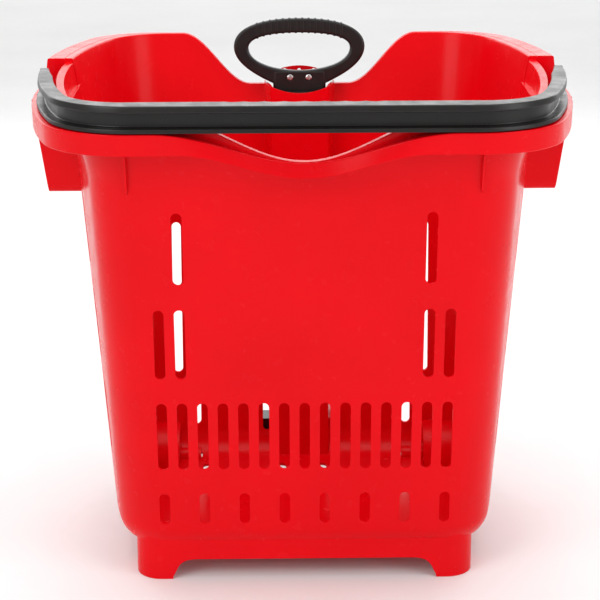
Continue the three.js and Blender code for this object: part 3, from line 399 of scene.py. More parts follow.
# Outlines are (distance out from the wall, height).
def front_profile(station):
    x, y, nx, _ = station
    side = abs(nx)
    low = dip(x, FRONT_DIP_HALF)
    top = lip_top(x, y)
    ledge = mix(LEDGE_TOP, LIP_FRONT_TOP - FRONT_DIP_DEPTH - 0.6, low)
    lip_inner = mix(*LIP_INNER, side)
    lip_outer = mix(*LIP_OUTER, side)
    ledge_outer = mix(mix(LEDGE_OUTER[0], LEDGE_OUTER_AT_DIP, low), LEDGE_OUTER[1], side)
    skirt_middle = mix(FRONT_SKIRT_OUTER[0], FRONT_SKIRT_OUTER_AT_DIP, low)
    skirt_outer = mix(skirt_middle, FRONT_SKIRT_OUTER[1], side)
    skirt_end = SKIRT_BOTTOM - SKIRT_DIP_DEPTH * dip(x, SKIRT_DIP_HALF)
    outline = [
        (-WALL, FLARE_START),
        (lip_inner, top),
        (lip_outer, top),
        (lip_outer, ledge),
        (ledge_outer, ledge),
        (skirt_outer, skirt_end),
        (skirt_outer - WALL, skirt_end),
        (ledge_outer - WALL, ledge - WALL),
        (lip_inner + WALL, ledge - WALL),
        (0, WALL_TOP),
        (0, FLARE_START),
    ]
    return rounded(outline, [0, 1.6, 1.6, 0.8, 1.6, 0.9, 0.9, 1, 1, 0, 0])


def rear_profile(station):
    x, _, nx, _ = station
    side = abs(nx)
    top = rear_rim_top(x)
    low = (RIM_TOP - top) / REAR_DIP_DEPTH
    inner = mix(*REAR_RIM_INNER, side)
    outer = mix(*REAR_RIM_OUTER, side)
    band = inner + 0.6 * (outer - inner) if side < 0.05 else inner + mix(4.7, 8, side)
    skirt_outer = mix(*REAR_SKIRT_OUTER, side)
    skirt_end = SKIRT_BOTTOM - SKIRT_DIP_DEPTH * low
    outline = [
        (-WALL, FLARE_START),
        (inner, top),
        (band - 0.5, top),
        (band, top - 0.6),
        (band + 0.5, top),
        (outer, top),
        (skirt_outer, skirt_end),
        (skirt_outer - WALL, skirt_end),
        (outer - WALL, top - WALL),
        (inner + WALL, top - WALL),
        (0, WALL_TOP),
        (0, FLARE_START),
    ]
    return rounded(outline, [0, 1.6, 0, 0, 0, 2.2, 0.9, 0.9, 1, 1, 0, 0])


def rear_end_wall(station):
    x, _, nx, _ = station
    side = abs(nx)
    top = rear_rim_top(x) - 1
    skirt_inner = mix(*REAR_SKIRT_OUTER, side) - WALL + 1
    foot = SKIRT_BOTTOM + 6
    return [
        (-WALL / 2, FLARE_START),
        (REAR_RIM_INNER[0], top),
        (mix(*REAR_RIM_OUTER, side) - WALL + 1, top - 0.6),
        (skirt_inner, foot),
        (skirt_inner - 5, foot),
        (0, WALL_TOP + 8),
    ]


def rim_ring(profile):
    plans = {}

    def plan_at(z):
        if z not in plans:
            plans[z] = whole_plan(z)
        return plans[z]

    polygons = []
    for i, base in enumerate(whole_plan(WALL_TOP)):
        polygons.append([outward(plan_at(round(z, 1))[i], distance, z) for distance, z in profile(base)])
    return sweep(polygons, is_ring=True)


def rim_parts():
    reach = 300
    sky = 600

    def slab(y0, y1):
        return [("INTERSECT", block(-reach, reach, y0, y1, 0, sky))]

    front = carve(rim_ring(front_profile), slab(-reach, RIM_STEP_Y + 1))
    rear = carve(rim_ring(rear_profile), slab(RIM_STEP_Y, reach))
    end_wall = carve(rim_ring(rear_end_wall), slab(RIM_STEP_Y, RIM_STEP_Y + WALL))
    return [front, rear, end_wall]


# ---- the rear channel ----


def channel_front_y(z):
    return CHANNEL_FRONT_AT_TOP - CHANNEL_SLOPE * (CHANNEL_TOP - z)


def channel_outline(z, inset, rear_point):
    narrow = (CHANNEL_TOP - z) / CHANNEL_TOP
    front_half = CHANNEL_FRONT_HALF - CHANNEL_FRONT_HALF_DRAFT * narrow - inset
    wall_half = CHANNEL_REAR_HALF - CHANNEL_REAR_HALF_DRAFT * narrow - inset
    front = channel_front_y(z) + inset
    outline = [
        (-wall_half, rear_point),
        (-wall_half, rear_y(z)),
        (-front_half, front),
        (front_half, front),
        (wall_half, rear_y(z)),
        (wall_half, rear_point),
    ]
    return [(x, y, z) for x, y in rounded(outline, [0, 0, 3, 3, 0, 0], 5)]


def channel_block():
    reaches = (
        (BOTTOM + 1, 0.1),
        (CHANNEL_POCKET_FLOOR, 0.1),
        (COVER_BOTTOM, 3),
        (WALL_TOP, 3),
        (CHANNEL_TOP, 8),
    )
    return sweep([channel_outline(z, 0, rear_y(z) + reach) for z, reach in reaches])


def channel_pocket_tools():
    open_rear = 240
    levels = (CHANNEL_POCKET_FLOOR, CHANNEL_TOP + 60)
    upper = sweep([channel_outline(z, WALL, open_rear) for z in levels])
    half = 28
    lower_levels = []
    for z in (BOTTOM - 5, CHANNEL_POCKET_FLOOR - WALL):
        front = channel_front_y(z) + WALL
        rear = rear_y(z) - WALL
        lower_levels.append([(-half, front, z), (half, front, z), (half, rear, z), (-half, rear, z)])
    scoop_radius = 65
    scoop = cylinder_y(scoop_radius, 0, 130, 165, CHANNEL_TOP - 7 + scoop_radius, 180)
    mouth_half = COVER_HALF + 0.4
    mouth = block(-mouth_half, mouth_half, 178, open_rear, WALL_TOP, CHANNEL_TOP + 20)
    return [upper, sweep(lower_levels), scoop, mouth]


# ---- slots ----


def slot_outline(across, low, high, width=SLOT_WIDTH, steps=14):
    radius = width / 2
    top = arc(across, high - radius, radius, 0, 180, steps)
    foot = arc(across, low + radius, radius, 180, 360, steps)
    return top + foot


def columns(*steps):
    return [step * SLOT_PITCH for step in steps]


def alternate(count, pitch):
    return [(i - (count - 1) / 2) * pitch for i in range(count)]


def wall_slots():
    tools = []
    front = [(columns(-6, 6), ROW_1), (columns(-7, -6, 6, 7), ROW_2)]
    front += [(alternate(15, SLOT_PITCH), ROW_3), (alternate(8, 2 * SLOT_PITCH), ROW_4)]
    rear = [(columns(-7, 7), ROW_2), (columns(-7, 7), ROW_3), (columns(-6, 6), ROW_4)]
    sides = [
        (alternate(2, 8 * SLOT_PITCH), ROW_1),
        (columns(-4, -3, 3, 4), ROW_2),
        (alternate(9, SLOT_PITCH), ROW_3),
    ]
    for across, row in front:
        tools += [prism_y(slot_outline(x, *row), -175, -105) for x in across]
    for across, row in rear:
        tools += [prism_y(slot_outline(x, *row), 118, 190) for x in across]
    for across, row in sides:
        for y in across:
            tools += pair(prism_x(slot_outline(y, *row), 150, 230))
    return joined(tools)


def small_slots():
    tools = pair(prism_y(slot_outline(36.4, 52, ROW_4[1], 8), 134, 150))
    for x, rear, width in ((21, 96, SLOT_WIDTH), (98, 96, SLOT_WIDTH), (141, 70, 12)):
        tools += pair(prism_z(slot_outline(x, 26, rear, width), BOTTOM - 10, BOTTOM + 10))
    return joined(tools)


# ---- feet, wheel arches and handle housings ----

FOOT_INNER_X = 124
FOOT_OUTER_X = 159
FOOT_FRONT_Y = -117
FOOT_CORNER = 25
FOOT_THICKNESS = 12


# A foot wraps the front corner in plan.
def foot():
    centre_x = FOOT_OUTER_X - FOOT_CORNER
    centre_y = FOOT_FRONT_Y + FOOT_CORNER
    plan = [(FOOT_INNER_X, FOOT_FRONT_Y)]
    plan += arc(centre_x, centre_y, FOOT_CORNER, -90, 0, 16)
    plan += [(FOOT_OUTER_X, -72), (FOOT_OUTER_X - FOOT_THICKNESS, -72)]
    plan += arc(centre_x, centre_y, FOOT_CORNER - FOOT_THICKNESS, 0, -90, 12)
    plan += [(FOOT_INNER_X, FOOT_FRONT_Y + FOOT_THICKNESS)]
    return prism_z(plan, 0, 46)


# A shallow rail joins the feet along the front and sweeps down into each of them.
def front_rail():
    right = [(0, 20)] + curve((100, 20), (112, 20), (116, 17), (119, 12), 8)
    right += [(FOOT_INNER_X + 1, 0), (FOOT_INNER_X + 3, 0), (FOOT_INNER_X + 3, 40)]
    left = [(-x, z) for x, z in reversed(right[1:])]
    return prism_y(right + left, FOOT_FRONT_Y, FOOT_FRONT_Y + 3)


def arch(radius, x0, x1, bottom):
    outline = [(WHEEL_Y + radius, bottom)]
    outline += arc(WHEEL_Y, WHEEL_RADIUS, radius, 0, 180, 32)
    outline += [(WHEEL_Y - radius, bottom)]
    return prism_x(outline, x0, x1)


def housing_outer_x(z):
    return 240 + 0.14 * (z - 390)


def housing(outline, inner_x, outer_x):
    return sweep([[(inner_x(z), y, z) for y, z in outline], [(outer_x(z), y, z) for y, z in outline]])


def handle_housing():
    outline = [(-36, 354.6), (41.5, 354.6), (41.5, 442), (-36, 442)]
    return housing(rounded(outline, [9, 9, 0, 0], 8), lambda z: side_x(z) - 2, housing_outer_x)


def housing_hollow():
    outline = [(-33.4, 357.2), (39, 357.2), (39, 440.4), (-33.4, 440.4)]
    solid = housing(
        rounded(outline, [7, 7, 0, 0], 8),
        lambda z: side_x(z) + 0.2,
        lambda z: housing_outer_x(z) - WALL,
    )
    return carve(solid, cut([cylinder_x(11, 200, 231.5, 0, PIVOT_Z)]))


def front_rib():
    outline = [
        (front_y(383) + 1, 383),
        (front_y(383) - 0.8, 384),
        (front_y(418) - 9, 418),
        (front_y(424) - 20, 426),
        (front_y(424) + 1, 426),
    ]
    return prism_x(outline, 152, 154.4)


# ---- the tub ----


def basket_tub():
    channel = channel_block()
    bosses = pair(cylinder_x(9, 106, ARCH_INNER_X, WHEEL_Y, WHEEL_RADIUS))
    linings = pair(arch(ARCH_RADIUS + WALL, ARCH_INNER_X - WALL, 200, BOTTOM))
    hollow = carve(inner_hollow(), cut([channel] + linings + bosses))
    shell = carve(
        outer_body(),
        add(
            pair(foot())
            + [front_rail()]
            + pair(handle_housing())
            + pair(front_rib())
            + bosses
            + [channel]
        ),
    )
    bracket_boss = pair(cylinder_y(4.5, 22, 120, 140.1, 49))
    pilots = pair(cylinder_y(1.6, 22, 128, 141, 49))
    pilots += pair(cylinder_x(4.1, 105, 131, WHEEL_Y, WHEEL_RADIUS))
    pilots += pair(cylinder_x(4.1, 217, 232.5, 0, PIVOT_Z))
    arches = pair(arch(ARCH_RADIUS, ARCH_INNER_X, 220, -10))
    mouths = pair(block(231.5, 245.2, -16, RIM_STEP_Y - 0.2, PIVOT_Z - 14, LEDGE_TOP + 40))
    access = pair(cylinder_x(9, 243, 256, 0, PIVOT_Z))
    steps = cut([hollow]) + add(rim_parts())
    steps += cut(channel_pocket_tools()) + add(bracket_boss)
    steps += cut(arches + [wall_slots(), small_slots()])
    steps += cut(pair(housing_hollow()) + mouths + access + pilots)
    return carve(shell, steps)


# ---- carry handle ----

HANDLE_TOP = 466.7
HANDLE_BOTTOM = 443.9
HANDLE_PLAN_Z = 457
SCALLOP_PITCH = 17
SCALLOP_SPAN = 68
SCALLOP_DEPTH = 2.6
END_NARROWING = 6.5
NARROWING_LENGTH = 46


def scallop(x):
    if abs(x) >= SCALLOP_SPAN:
        return 0
    return SCALLOP_DEPTH * (abs(math.sin(math.pi * x / SCALLOP_PITCH)) - 0.35)


# The bar's section: a broad top flange, a web and a lower flange, with a groove facing out.
# Its inner edge draws outward toward the pivots, so that it clears the tub when it stands up.
def handle_section(station):
    x, y, nx, _ = station
    side = abs(nx)
    edge = mix(8, 14.5, side) + END_NARROWING * max(0, 1 + y / NARROWING_LENGTH)
    inner = edge + scallop(x)
    web_inner = max(17, edge + 0.5)
    web_outer = web_inner + 5
    top_outer = mix(30, 28.5, side)
    bottom_outer = mix(31, 30, side)
    outline = [
        (inner, HANDLE_TOP),
        (top_outer - 1, HANDLE_TOP),
        (top_outer, 460.7),
        (web_outer, 459.5),
        (web_outer, 448),
        (bottom_outer - 0.5, 447.3),
        (bottom_outer, HANDLE_BOTTOM),
        (web_inner, HANDLE_BOTTOM),
        (web_inner, 459.8),
        (inner, 461),
    ]
    return rounded(outline, [1.8, 1.8, 1.4, 1, 1, 0.8, 0.8, 0.8, 1, 1.6], 4)


def handle_leg():
    outline = [(-14, HANDLE_TOP)] + arc(-9, HANDLE_TOP - 12, 12, 90, 0, 14)
    outline += arc(0, PIVOT_Z, 11, 0, -180, 24) + [(-14, 452)]
    return prism_x(outline, 234.9, 241)


def carry_handle():
    right = right_half(HANDLE_PLAN_Z)[: STRAIGHT_STEPS + CORNER_STEPS + SIDE_STEPS + 1]
    fine = []
    last_flat = STRAIGHT_STEPS
    for i in range(last_flat):
        x0, y0, nx, ny = right[i]
        x1 = right[i + 1][0]
        fine += [(mix(x0, x1, part / 2), y0, nx, ny) for part in (0, 1)]
    path = fine + right[last_flat:]
    path = [flipped(station) for station in reversed(path[1:])] + path
    bar = sweep([[outward(station, d, z) for d, z in handle_section(station)] for station in path])
    nose = [(-300, HANDLE_TOP + 5), (-12, HANDLE_TOP + 5), (-12, HANDLE_TOP)]
    nose += arc(-12, HANDLE_TOP - 12, 12, 90, 0, 16) + [(0, 430), (-300, 430)]
    bores = pair(cylinder_x(4.1, 230, 246, 0, PIVOT_Z))
    steps = [("INTERSECT", prism_x(nose, -300, 300))]
    return carve(bar, steps + add(pair(handle_leg())) + cut(bores))


def pivot_pin():
    shaft = cylinder_x(4, 218, 242, 0, PIVOT_Z)
    return carve(shaft, add([cylinder_x(8, 241.4, 246.4, 0, PIVOT_Z)]))


# ---- pull handle, built along its own leaning axis ----

MAST_FRAME = Matrix.Translation((0, MAST_FOOT_Y * MM, 0)) @ Matrix.Rotation(-MAST_LEAN, 4, "X")
COVER_FRAME = Matrix.Translation((0, COVER_FOOT_Y * MM, 0)) @ Matrix.Rotation(-COVER_LEAN, 4, "X")


def rounded_bar(half_x, half_y, radius, z0, z1):
    corners = [(-half_x, -half_y), (half_x, -half_y), (half_x, half_y), (-half_x, half_y)]
    return prism_z(rounded(corners, [radius] * 4, 8), z0, z1)


def outer_sleeve():
    tools = [
        rounded_bar(24.7, 6.2, 2.5, 72.5, SLEEVE_TOP - 8),
        rounded_bar(24.25, 5.75, 2, 395.5, SLEEVE_TOP + 1),
    ]
    grooves = [prism_z([(x - 1, -9), (x + 1, -9), (x, -7.4)], 80, SLEEVE_TOP + 1) for x in (-16, 16)]
    return carve(rounded_bar(26.5, 8, 4, 73.5, SLEEVE_TOP), cut(tools + grooves))


def inner_mast():
    return carve(rounded_bar(24, 5.5, 2.2, 92, 430), cut([rounded_bar(22.3, 3.8, 1.4, 91, 431)]))


def grip_curves():
    outer = [(27, 412), (27, 420)]
    outer += curve((27, 420), (44, 428), (67, 440), (67, 457.5))[1:]
    outer += curve((67, 457.5), (67, 475), (45, 486), (0, 486))[1:]
    outer += [(-x, z) for x, z in reversed(outer[:-1])]
    inner = curve((0, 471.5), (34, 471.5), (52, 466), (52, 456))
    inner += curve((52, 456), (52, 441), (26, 433), (0, 433))[1:]
    inner += [(-x, z) for x, z in reversed(inner[1:-1])]
    return outer, inner


# A flat loop with softly rounded edges, built standing in the XZ plane.
def soft_plate(outlines, half, edge):
    shape = bpy.data.curves.new("plate", "CURVE")
    shape.dimensions = "2D"
    shape.fill_mode = "BOTH"
    shape.extrude = (half - edge) * MM
    shape.bevel_depth = edge * MM
    shape.bevel_resolution = 5
    shape.offset = -edge * MM
    for outline in outlines:
        spline = shape.splines.new("POLY")
        spline.points.add(len(outline) - 1)
        for point, (x, z) in zip(spline.points, outline):
            point.co = (x * MM, z * MM, 0, 1)
        spline.use_cyclic_u = True
    holder = bpy.data.objects.new("plate", shape)
    bpy.context.scene.collection.objects.link(holder)
    bpy.context.view_layer.update()
    graph = bpy.context.evaluated_depsgraph_get()
    mesh = bpy.data.meshes.new_from_object(holder.evaluated_get(graph))
    bpy.data.objects.remove(holder)
    mesh.transform(Matrix.Rotation(math.pi / 2, 4, "X"))
    return mesh


def height_at(outline, x, upper):
    heights = []
    for (xa, za), (xb, zb) in zip(outline, outline[1:] + outline[:1]):
        if min(xa, xb) <= x < max(xa, xb):
            heights.append(mix(za, zb, (x - xa) / (xb - xa)))
    return max(heights) if upper else min(heights)


# Fine ribs wrap the grip's top bar.
def grip_ribs(outer, inner):
    ribs = []
    for i in range(14):
        x = -43 + 6.6 * i
        top = height_at(outer, x, True) + 0.55
        bottom = height_at(inner, x, True) - 0.55
        if bottom < 460:
            bottom = top - 16
        section = [(-7.75, bottom), (7.75, bottom), (7.75, top), (-7.75, top)]
        soft = rounded(section, [3.2] * 4, 6)
        slim = [(y * 0.97, mix(z, (top + bottom) / 2, 0.04)) for y, z in soft]
        slices = ((-1.3, slim), (-0.7, soft), (0.7, soft), (1.3, slim))
        ribs.append(sweep([[(x + dx, y, z) for y, z in ring] for dx, ring in slices]))
    return ribs


def pull_grip():
    outer, inner = grip_curves()
    loop = soft_plate([outer, inner], 7.2, 2.4)
    neck = rounded_bar(27, 8, 4, 412, 431.5)
    socket = rounded_bar(24.2, 5.7, 2.2, 411, 430.4)
    seats = pair(cylinder_y(3.7, 9.5, -12, -6.6, 426))
    return joined([loop, carve(neck, cut([socket] + seats))] + grip_ribs(outer, inner))


# ---- channel cover ----


def channel_cover():
    inside = COVER_HALF - WALL
    right = [
        (inside, 14),
        (inside, 3.3),
        (42.5, 3.3),
        (42.5, 5.9),
        (COVER_HALF, 5.9),
        (COVER_HALF, 16.6),
    ]
    outline = right + [(-x, y) for x, y in reversed(right)]
    radii = [1.6, 0.5, 0.5, 0.9, 1, 3, 3, 1, 0.9, 0.5, 0.5, 1.6]
    hat = prism_z(rounded(outline, radii, 4), COVER_BOTTOM, 414)
    tab_outline = [(-18.7, 404), (18.7, 404), (18.7, 434.5)]
    tab_outline += [(18.7 * (1 - i / 10), 434.5 + 2.75 * (1 - (1 - i / 10) ** 2)) for i in range(1, 20)]
    tab_outline += [(-18.7, 434.5)]
    holes = [cylinder_y(1.9, x, 9, 22, 432.5, 24) for x in (-15, 0, 15)]
    screws = pair(cylinder_y(1.9, 38.6, 0, 10, 122, 24)) + pair(cylinder_y(1.9, 38.6, 0, 10, 372, 24))
    reliefs = pair(block(COVER_HALF, 60, 0, 12, COVER_BOTTOM - 1, 98))
    reliefs += pair(block(COVER_HALF, 60, 0, 12, 390, 415))
    return carve(hat, cut(screws + reliefs) + add([prism_y(tab_outline, 14, 16.6)]) + cut(holes))


# ---- screws, turned about Y with the head toward -Y ----


def screw(x, z, face, height, radius, tip, toward):
    profile = [
        (0, tip),
        (1.4, tip),
        (1.4, face),
        (radius, face),
        (radius, face + toward * height * 0.45),
    ]
    profile += [
        (radius * math.cos(a), face + toward * height * (0.45 + 0.55 * math.sin(a)))
        for a in (math.pi / 2 * i / 8 for i in range(1, 9))
    ]
    rings = []
    for r, y in profile[1:-1]:
        turns = [2 * math.pi * i / 40 for i in range(40)]
        rings.append([(x + r * math.cos(t), y, z + r * math.sin(t)) for t in turns])
    head = sweep(rings)
    outer = face + toward * (height + 1)
    inner = face + toward * height * 0.35
    low, high = sorted((inner, outer))
    bars = [
        block(x - 2.1, x + 2.1, low, high, z - 0.5, z + 0.5),
        block(x - 0.5, x + 0.5, low, high, z - 2.1, z + 2.1),
    ]
    return carve(head, cut(bars))


# ---- wheels ----


def turned(profile, steps=72):
    rings = []
    for i in range(steps):
        angle = 2 * math.pi * i / steps
        across, up = math.cos(angle), math.sin(angle)
        ring = [(x, WHEEL_Y + r * across, WHEEL_RADIUS + r * up) for r, x in profile]
        rings.append(ring)
    return sweep(rings, is_ring=True)


def wheel_hub():
    outline = [
        (4.1, 130.8), (7.5, 130.8), (7.5, 141.5), (19, 141.5), (19, 135.5), (HUB_RADIUS, 135.5),
        (HUB_RADIUS, 151.5), (19, 151.5), (19, 147.5), (7.5, 147.5), (7.5, 152), (4.1, 152),
    ]
    disc = turned(rounded(outline, [0.3, 0.6, 1, 1.2, 0.6, 0.6, 0.6, 0.6, 1.2, 1, 0.6, 0.3], 3))
    spokes = []
    for i in range(5):
        centre = Matrix.Translation((0, WHEEL_Y * MM, WHEEL_RADIUS * MM))
        spin = centre @ Matrix.Rotation(2 * math.pi * i / 5, 4, "X")
        spokes.append(moved(block(146.5, 150.2, 6, 20.5, -1.4, 1.4), spin))
    return carve(disc, add(spokes))


def tyre():
    inner = HUB_RADIUS + 0.2
    outline = [
        (inner, 135),
        (27.5, 134),
        (29.7, 136.5),
        (30, 140),
        (30, 147),
        (29.7, 150.5),
        (27.5, 153),
        (inner, 152),
    ]
    band = turned(rounded(outline, [0.4, 1.4, 1, 0.5, 0.5, 1, 1.4, 0.4], 4))
    grooves = []
    for x in (140.2, 143.5, 146.8):
        grooves.append(turned([(29.2, x - 0.2), (31, x - 0.6), (31, x + 0.6), (29.2, x + 0.2)]))
    return carve(band, cut(grooves))


def axle_cap():
    profile = [
        (4.12, 152.6),
        (9, 152.6),
        (9, 155.6),
        (7, 157.9),
        (3, 158.6),
        (0.02, 158.6),
        (0.02, 156.7),
        (4.12, 156.7),
    ]
    return turned(rounded(profile, [0, 0.6, 1.2, 1.2, 0.8, 0, 0, 0], 3), 48)


# ---- finishes ----


class Finish:
    def __init__(self, name):
        self.material = bpy.data.materials.new(name)
        self.material.use_nodes = True
        self.tree = self.material.node_tree
        self.shader = self.tree.nodes["Principled BSDF"]
        self.place = self.tree.nodes.new("ShaderNodeTexCoord").outputs["Object"]

    def node(self, kind, **settings):
        made = self.tree.nodes.new(kind)
        for key, value in settings.items():
            setattr(made, key, value)
        return made

    def link(self, a, b):
        self.tree.links.new(a, b)

    # Noise at a scale in features per metre, stretched along the given axes.
    def noise(self, scale, detail=2.0, stretch=(1, 1, 1)):
        mapping = self.node("ShaderNodeMapping")
        mapping.inputs["Scale"].default_value = stretch
        self.link(self.place, mapping.inputs["Vector"])
        texture = self.node("ShaderNodeTexNoise")
        texture.inputs["Scale"].default_value = scale
        texture.inputs["Detail"].default_value = detail
        self.link(mapping.outputs["Vector"], texture.inputs["Vector"])
        return texture.outputs["Fac"]

    def span(self, value, low, high, start=0.3, end=0.7):
        ramp = self.node("ShaderNodeMapRange")
        ramp.inputs["From Min"].default_value = start
        ramp.inputs["From Max"].default_value = end
        ramp.inputs["To Min"].default_value = low
        ramp.inputs["To Max"].default_value = high
        self.link(value, ramp.inputs["Value"])
        return ramp.outputs["Result"]

    def blend(self, factor, a, b):
        mixer = self.node("ShaderNodeMix", data_type="RGBA")
        self.link(factor, mixer.inputs["Factor"])
        for socket, value in (("A", a), ("B", b)):
            target = [s for s in mixer.inputs if s.name == socket and s.type == "RGBA"][0]
            if isinstance(value, tuple):
                target.default_value = (*value, 1)
            else:
                self.link(value, target)
        return [s for s in mixer.outputs if s.type == "RGBA"][0]

    def sum(self, a, b, operation="ADD"):
        maths = self.node("ShaderNodeMath", operation=operation)
        for socket, value in ((0, a), (1, b)):
            if isinstance(value, (int, float)):
                maths.inputs[socket].default_value = value
            else:
                self.link(value, maths.inputs[socket])
        return maths.outputs[0]

    # Softened edges first, then the surface grain on top of them.
    def relief(self, heights, edge):
        soft = self.node("ShaderNodeBevel", samples=4)
        soft.inputs["Radius"].default_value = edge
        normal = soft.outputs["Normal"]
        for height, depth in heights:
            bump = self.node("ShaderNodeBump")
            bump.inputs["Strength"].default_value = 1.0
            bump.inputs["Distance"].default_value = depth
            self.link(height, bump.inputs["Height"])
            self.link(normal, bump.inputs["Normal"])
            normal = bump.outputs["Normal"]
        self.link(normal, self.shader.inputs["Normal"])

    def set(self, **values):
        for key, value in values.items():
            self.shader.inputs[key.replace("_", " ")].default_value = value


def moulded_plastic(name, colour, shade, worn, gloss, specular, edge=0.0007):
    look = Finish(name)
    clouds = look.noise(9, 3)
    mottle = look.noise(70, 4)
    base = look.blend(look.span(clouds, 0, 1), colour, shade)
    scuffs = look.noise(160, 6, (1, 1, 0.12))
    scuff_mask = look.span(scuffs, 0, 1, 0.66, 0.8)
    patches = look.span(look.noise(14, 2), 0, 1, 0.5, 0.62)
    wear = look.sum(scuff_mask, patches, "MULTIPLY")
    look.link(look.blend(look.sum(wear, 0.06, "MULTIPLY"), base, worn), look.shader.inputs["Base Color"])
    rough = look.sum(look.span(mottle, gloss[0], gloss[1]), look.sum(wear, 0.12, "MULTIPLY"))
    look.link(rough, look.shader.inputs["Roughness"])
    look.relief([(look.noise(2200, 2), 0.000012), (look.noise(60, 2), 0.00005)], edge)
    look.set(IOR=1.49, Specular_IOR_Level=specular)
    return look.material


def rubber():
    look = Finish("tyre_rubber")
    dust = look.span(look.noise(45, 5), 0, 1, 0.45, 0.7)
    tint = look.blend(dust, (0.035, 0.034, 0.033), (0.085, 0.08, 0.075))
    look.link(tint, look.shader.inputs["Base Color"])
    look.link(look.span(look.noise(300, 3), 0.62, 0.85), look.shader.inputs["Roughness"])
    look.relief([(look.noise(1800, 4), 0.00004)], 0.0005)
    return look.material


def zinc():
    look = Finish("zinc_plate")
    streaks = look.noise(900, 3, (1, 0.1, 1))
    tint = look.blend(look.span(look.noise(120, 3), 0, 1), (0.62, 0.61, 0.58), (0.46, 0.46, 0.47))
    look.link(tint, look.shader.inputs["Base Color"])
    look.link(look.span(streaks, 0.24, 0.45), look.shader.inputs["Roughness"])
    look.relief([(streaks, 0.00001)], 0.0002)
    look.set(Metallic=1.0)
    return look.material


RED = moulded_plastic(
    "red_polypropylene",
    colour=(0.78, 0.001, 0.006),
    shade=(0.71, 0.001, 0.005),
    worn=(0.80, 0.02, 0.02),
    gloss=(0.18, 0.29),
    specular=0.12,
)
BLACK = moulded_plastic(
    "black_plastic",
    colour=(0.009, 0.008, 0.007),
    shade=(0.006, 0.005, 0.005),
    worn=(0.03, 0.028, 0.026),
    gloss=(0.26, 0.42),
    specular=0.42,
)
MAST_BLACK = moulded_plastic(
    "black_mast_plastic",
    colour=(0.020, 0.018, 0.017),
    shade=(0.013, 0.012, 0.011),
    worn=(0.07, 0.065, 0.06),
    gloss=(0.36, 0.52),
    specular=0.45,
)
TYRE_RUBBER = rubber()
ZINC = zinc()
FINISH_OF_SLOT = {
    "tub_plastic": RED,
    "handle_plastic": BLACK,
    "mast_plastic": MAST_BLACK,
    "screw_steel": ZINC,
    "tyre_rubber": TYRE_RUBBER,
}
SLOT_OF_NODE = {item["node"]: item["material_slot"] for item in frame["record"]["subparts"]}
NODES_OF_BODY = frame["record"]["behaviour"]["bodies"]
BODY_OF_NODE = {node: body for body, nodes in NODES_OF_BODY.items() for node in nodes}

# ---- putting the pieces in place ----

SMOOTH_ANGLE = math.radians(32)


def smooth(mesh):
    mesh.polygons.foreach_set("use_smooth", [True] * len(mesh.polygons))
    mesh.set_sharp_from_angle(angle=SMOOTH_ANGLE)


def show(name, mesh, node, matrix=None):
    if matrix is not None:
        mesh.transform(matrix)
    mesh.materials.clear()
    mesh.materials.append(FINISH_OF_SLOT[SLOT_OF_NODE[node]])
    smooth(mesh)
    item = bpy.data.objects.new(name, mesh)
    bpy.context.scene.collection.objects.link(item)
    weights = item.modifiers.new("even_shading", "WEIGHTED_NORMAL")
    weights.keep_sharp = True
    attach(item, BODY_OF_NODE[node])
    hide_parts(node)
    return item


def show_pair(name, mesh, node):
    show("right_" + name, mesh.copy(), "right_" + node)
    show("left_" + name, mirrored(mesh), "left_" + node)


show("tub_moulding", basket_tub(), "basket_tub")
show("channel_cover_moulding", channel_cover(), "rear_channel_cover", COVER_FRAME)
show("carry_bail", carry_handle(), "carry_handle")
show_pair("pivot_stud", pivot_pin(), "pivot_pin")
show("outer_sleeve", outer_sleeve(), "outer_mast", MAST_FRAME)
show("inner_tube", inner_mast(), "inner_mast", MAST_FRAME)
show("loop_grip", pull_grip(), "pull_grip", MAST_FRAME)
show_pair("wheel_disc", wheel_hub(), "wheel_hub")
show_pair("rolling_band", tyre(), "tyre")
show_pair("hub_cap", axle_cap(), "axle_cap")

grip_screw = screw(9.5, 426, -6.8, 1.7, 3.35, 6.6, -1)
show_pair("grip_screw_head", moved(grip_screw, MAST_FRAME), "grip_screw")
for place, z in (("lower", 122), ("upper", 372)):
    cover_screw = screw(38.6, z, 6.0, 2.2, 3.6, -1, 1)
    show_pair(place + "_cover_fixing", moved(cover_screw, COVER_FRAME), place + "_cover_screw")
show_pair("bracket_fixing", screw(22, 49, 143.9, 2.2, 3.6, 129, 1), "bracket_screw")

# The pieces carried over from the frame get softened edges and their finish.
EDGE_SOFTNESS = 0.0006
for node, item in frame["nodes"].items():
    if item.hide_render:
        continue
    item.data.materials.clear()
    item.data.materials.append(FINISH_OF_SLOT[SLOT_OF_NODE[node]])
    smooth(item.data)
    bevel = item.modifiers.new("soft_edges", "BEVEL")
    bevel.width = EDGE_SOFTNESS
    bevel.segments = 2
    bevel.limit_method = "ANGLE"
    bevel.angle_limit = SMOOTH_ANGLE

# ---- floor, light and camera ----


def floor():
    shape = bmesh.new()
    bmesh.ops.create_grid(shape, x_segments=8, y_segments=8, size=6)
    mesh = bpy.data.meshes.new("floor")
    shape.to_mesh(mesh)
    shape.free()
    look = Finish("pale_floor")
    tone = look.blend(look.span(look.noise(3, 4), 0, 1), (0.86, 0.86, 0.86), (0.82, 0.82, 0.82))
    look.link(tone, look.shader.inputs["Base Color"])
    look.link(look.span(look.noise(40, 3), 0.55, 0.7), look.shader.inputs["Roughness"])
    look.set(Specular_IOR_Level=0.2)
    mesh.materials.append(look.material)
    item = bpy.data.objects.new("floor", mesh)
    item.location = (0, 0, -0.0002)
    bpy.context.scene.collection.objects.link(item)


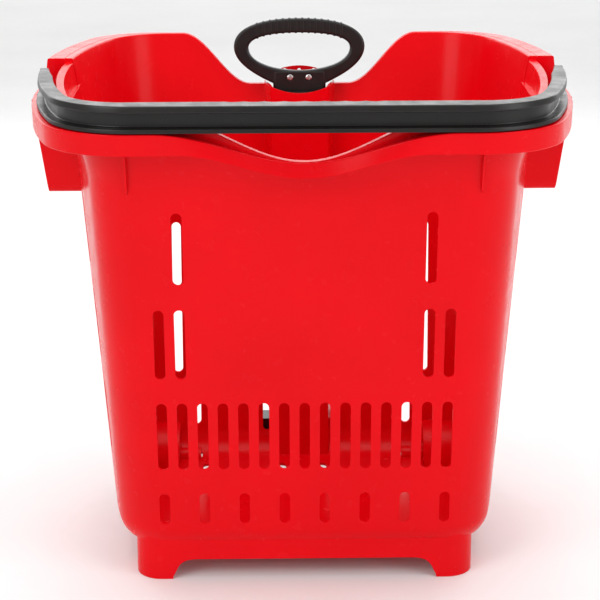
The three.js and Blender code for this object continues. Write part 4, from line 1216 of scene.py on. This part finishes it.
def softbox(name, place, aim, size, power):
    data = bpy.data.lights.new(name, "AREA")
    data.shape = "RECTANGLE"
    data.size, data.size_y = size
    data.energy = power
    item = bpy.data.objects.new(name, data)
    item.location = place
    item.rotation_euler = (Vector(aim) - Vector(place)).to_track_quat("-Z", "Y").to_euler()
    bpy.context.scene.collection.objects.link(item)


def surroundings():
    world = bpy.data.worlds.new("studio")
    bpy.context.scene.world = world
    world.use_nodes = True
    shade = world.node_tree.nodes["Background"]
    shade.inputs["Color"].default_value = (1, 1, 1, 1)
    shade.inputs["Strength"].default_value = 0.55


floor()
surroundings()
softbox("overhead", (0, 0.1, 2.2), (0, 0, 0.2), (2.4, 2.0), 29)
softbox("key_left", (-1.5, -1.7, 1.5), (0, 0, 0.25), (1.3, 1.3), 22)
softbox("fill_right", (1.7, -1.3, 1.1), (0, 0, 0.25), (1.2, 1.4), 15)
softbox("backdrop", (0, 7.5, 3.2), (0, 2.5, 0), (9.0, 5.0), 230)
softbox("rear_left", (-1.3, 1.6, 1.0), (0, 0, 0.3), (0.8, 1.4), 6)
softbox("rear_right", (1.3, 1.6, 1.0), (0, 0, 0.3), (0.8, 1.4), 6)

CAMERA_TARGET = Vector((-0.00227, 0, 0.2382))
CAMERA_DISTANCE = 1.761
CAMERA_ELEVATION = math.radians(17.06)
CAMERA_AZIMUTH = math.radians(-0.696)
CAMERA_ROLL = math.radians(-0.204)
back = Vector((
    math.sin(CAMERA_AZIMUTH) * math.cos(CAMERA_ELEVATION),
    -math.cos(CAMERA_AZIMUTH) * math.cos(CAMERA_ELEVATION),
    math.sin(CAMERA_ELEVATION),
))
lens = bpy.data.cameras.new("camera")
lens.sensor_fit = "VERTICAL"
lens.sensor_width = 36
lens.sensor_height = 36
lens.lens = 109.32
camera = bpy.data.objects.new("camera", lens)
facing = back.to_track_quat("Z", "Y").to_matrix().to_4x4()
stand = Matrix.Translation(CAMERA_TARGET + back * CAMERA_DISTANCE)
camera.matrix_world = stand @ facing @ Matrix.Rotation(CAMERA_ROLL, 4, "Z")
bpy.context.scene.collection.objects.link(camera)
bpy.context.scene.camera = camera
bpy.context.scene.view_settings.view_transform = "Standard"
bpy.context.scene.view_settings.look = "None"

bpy.context.view_layer.update()
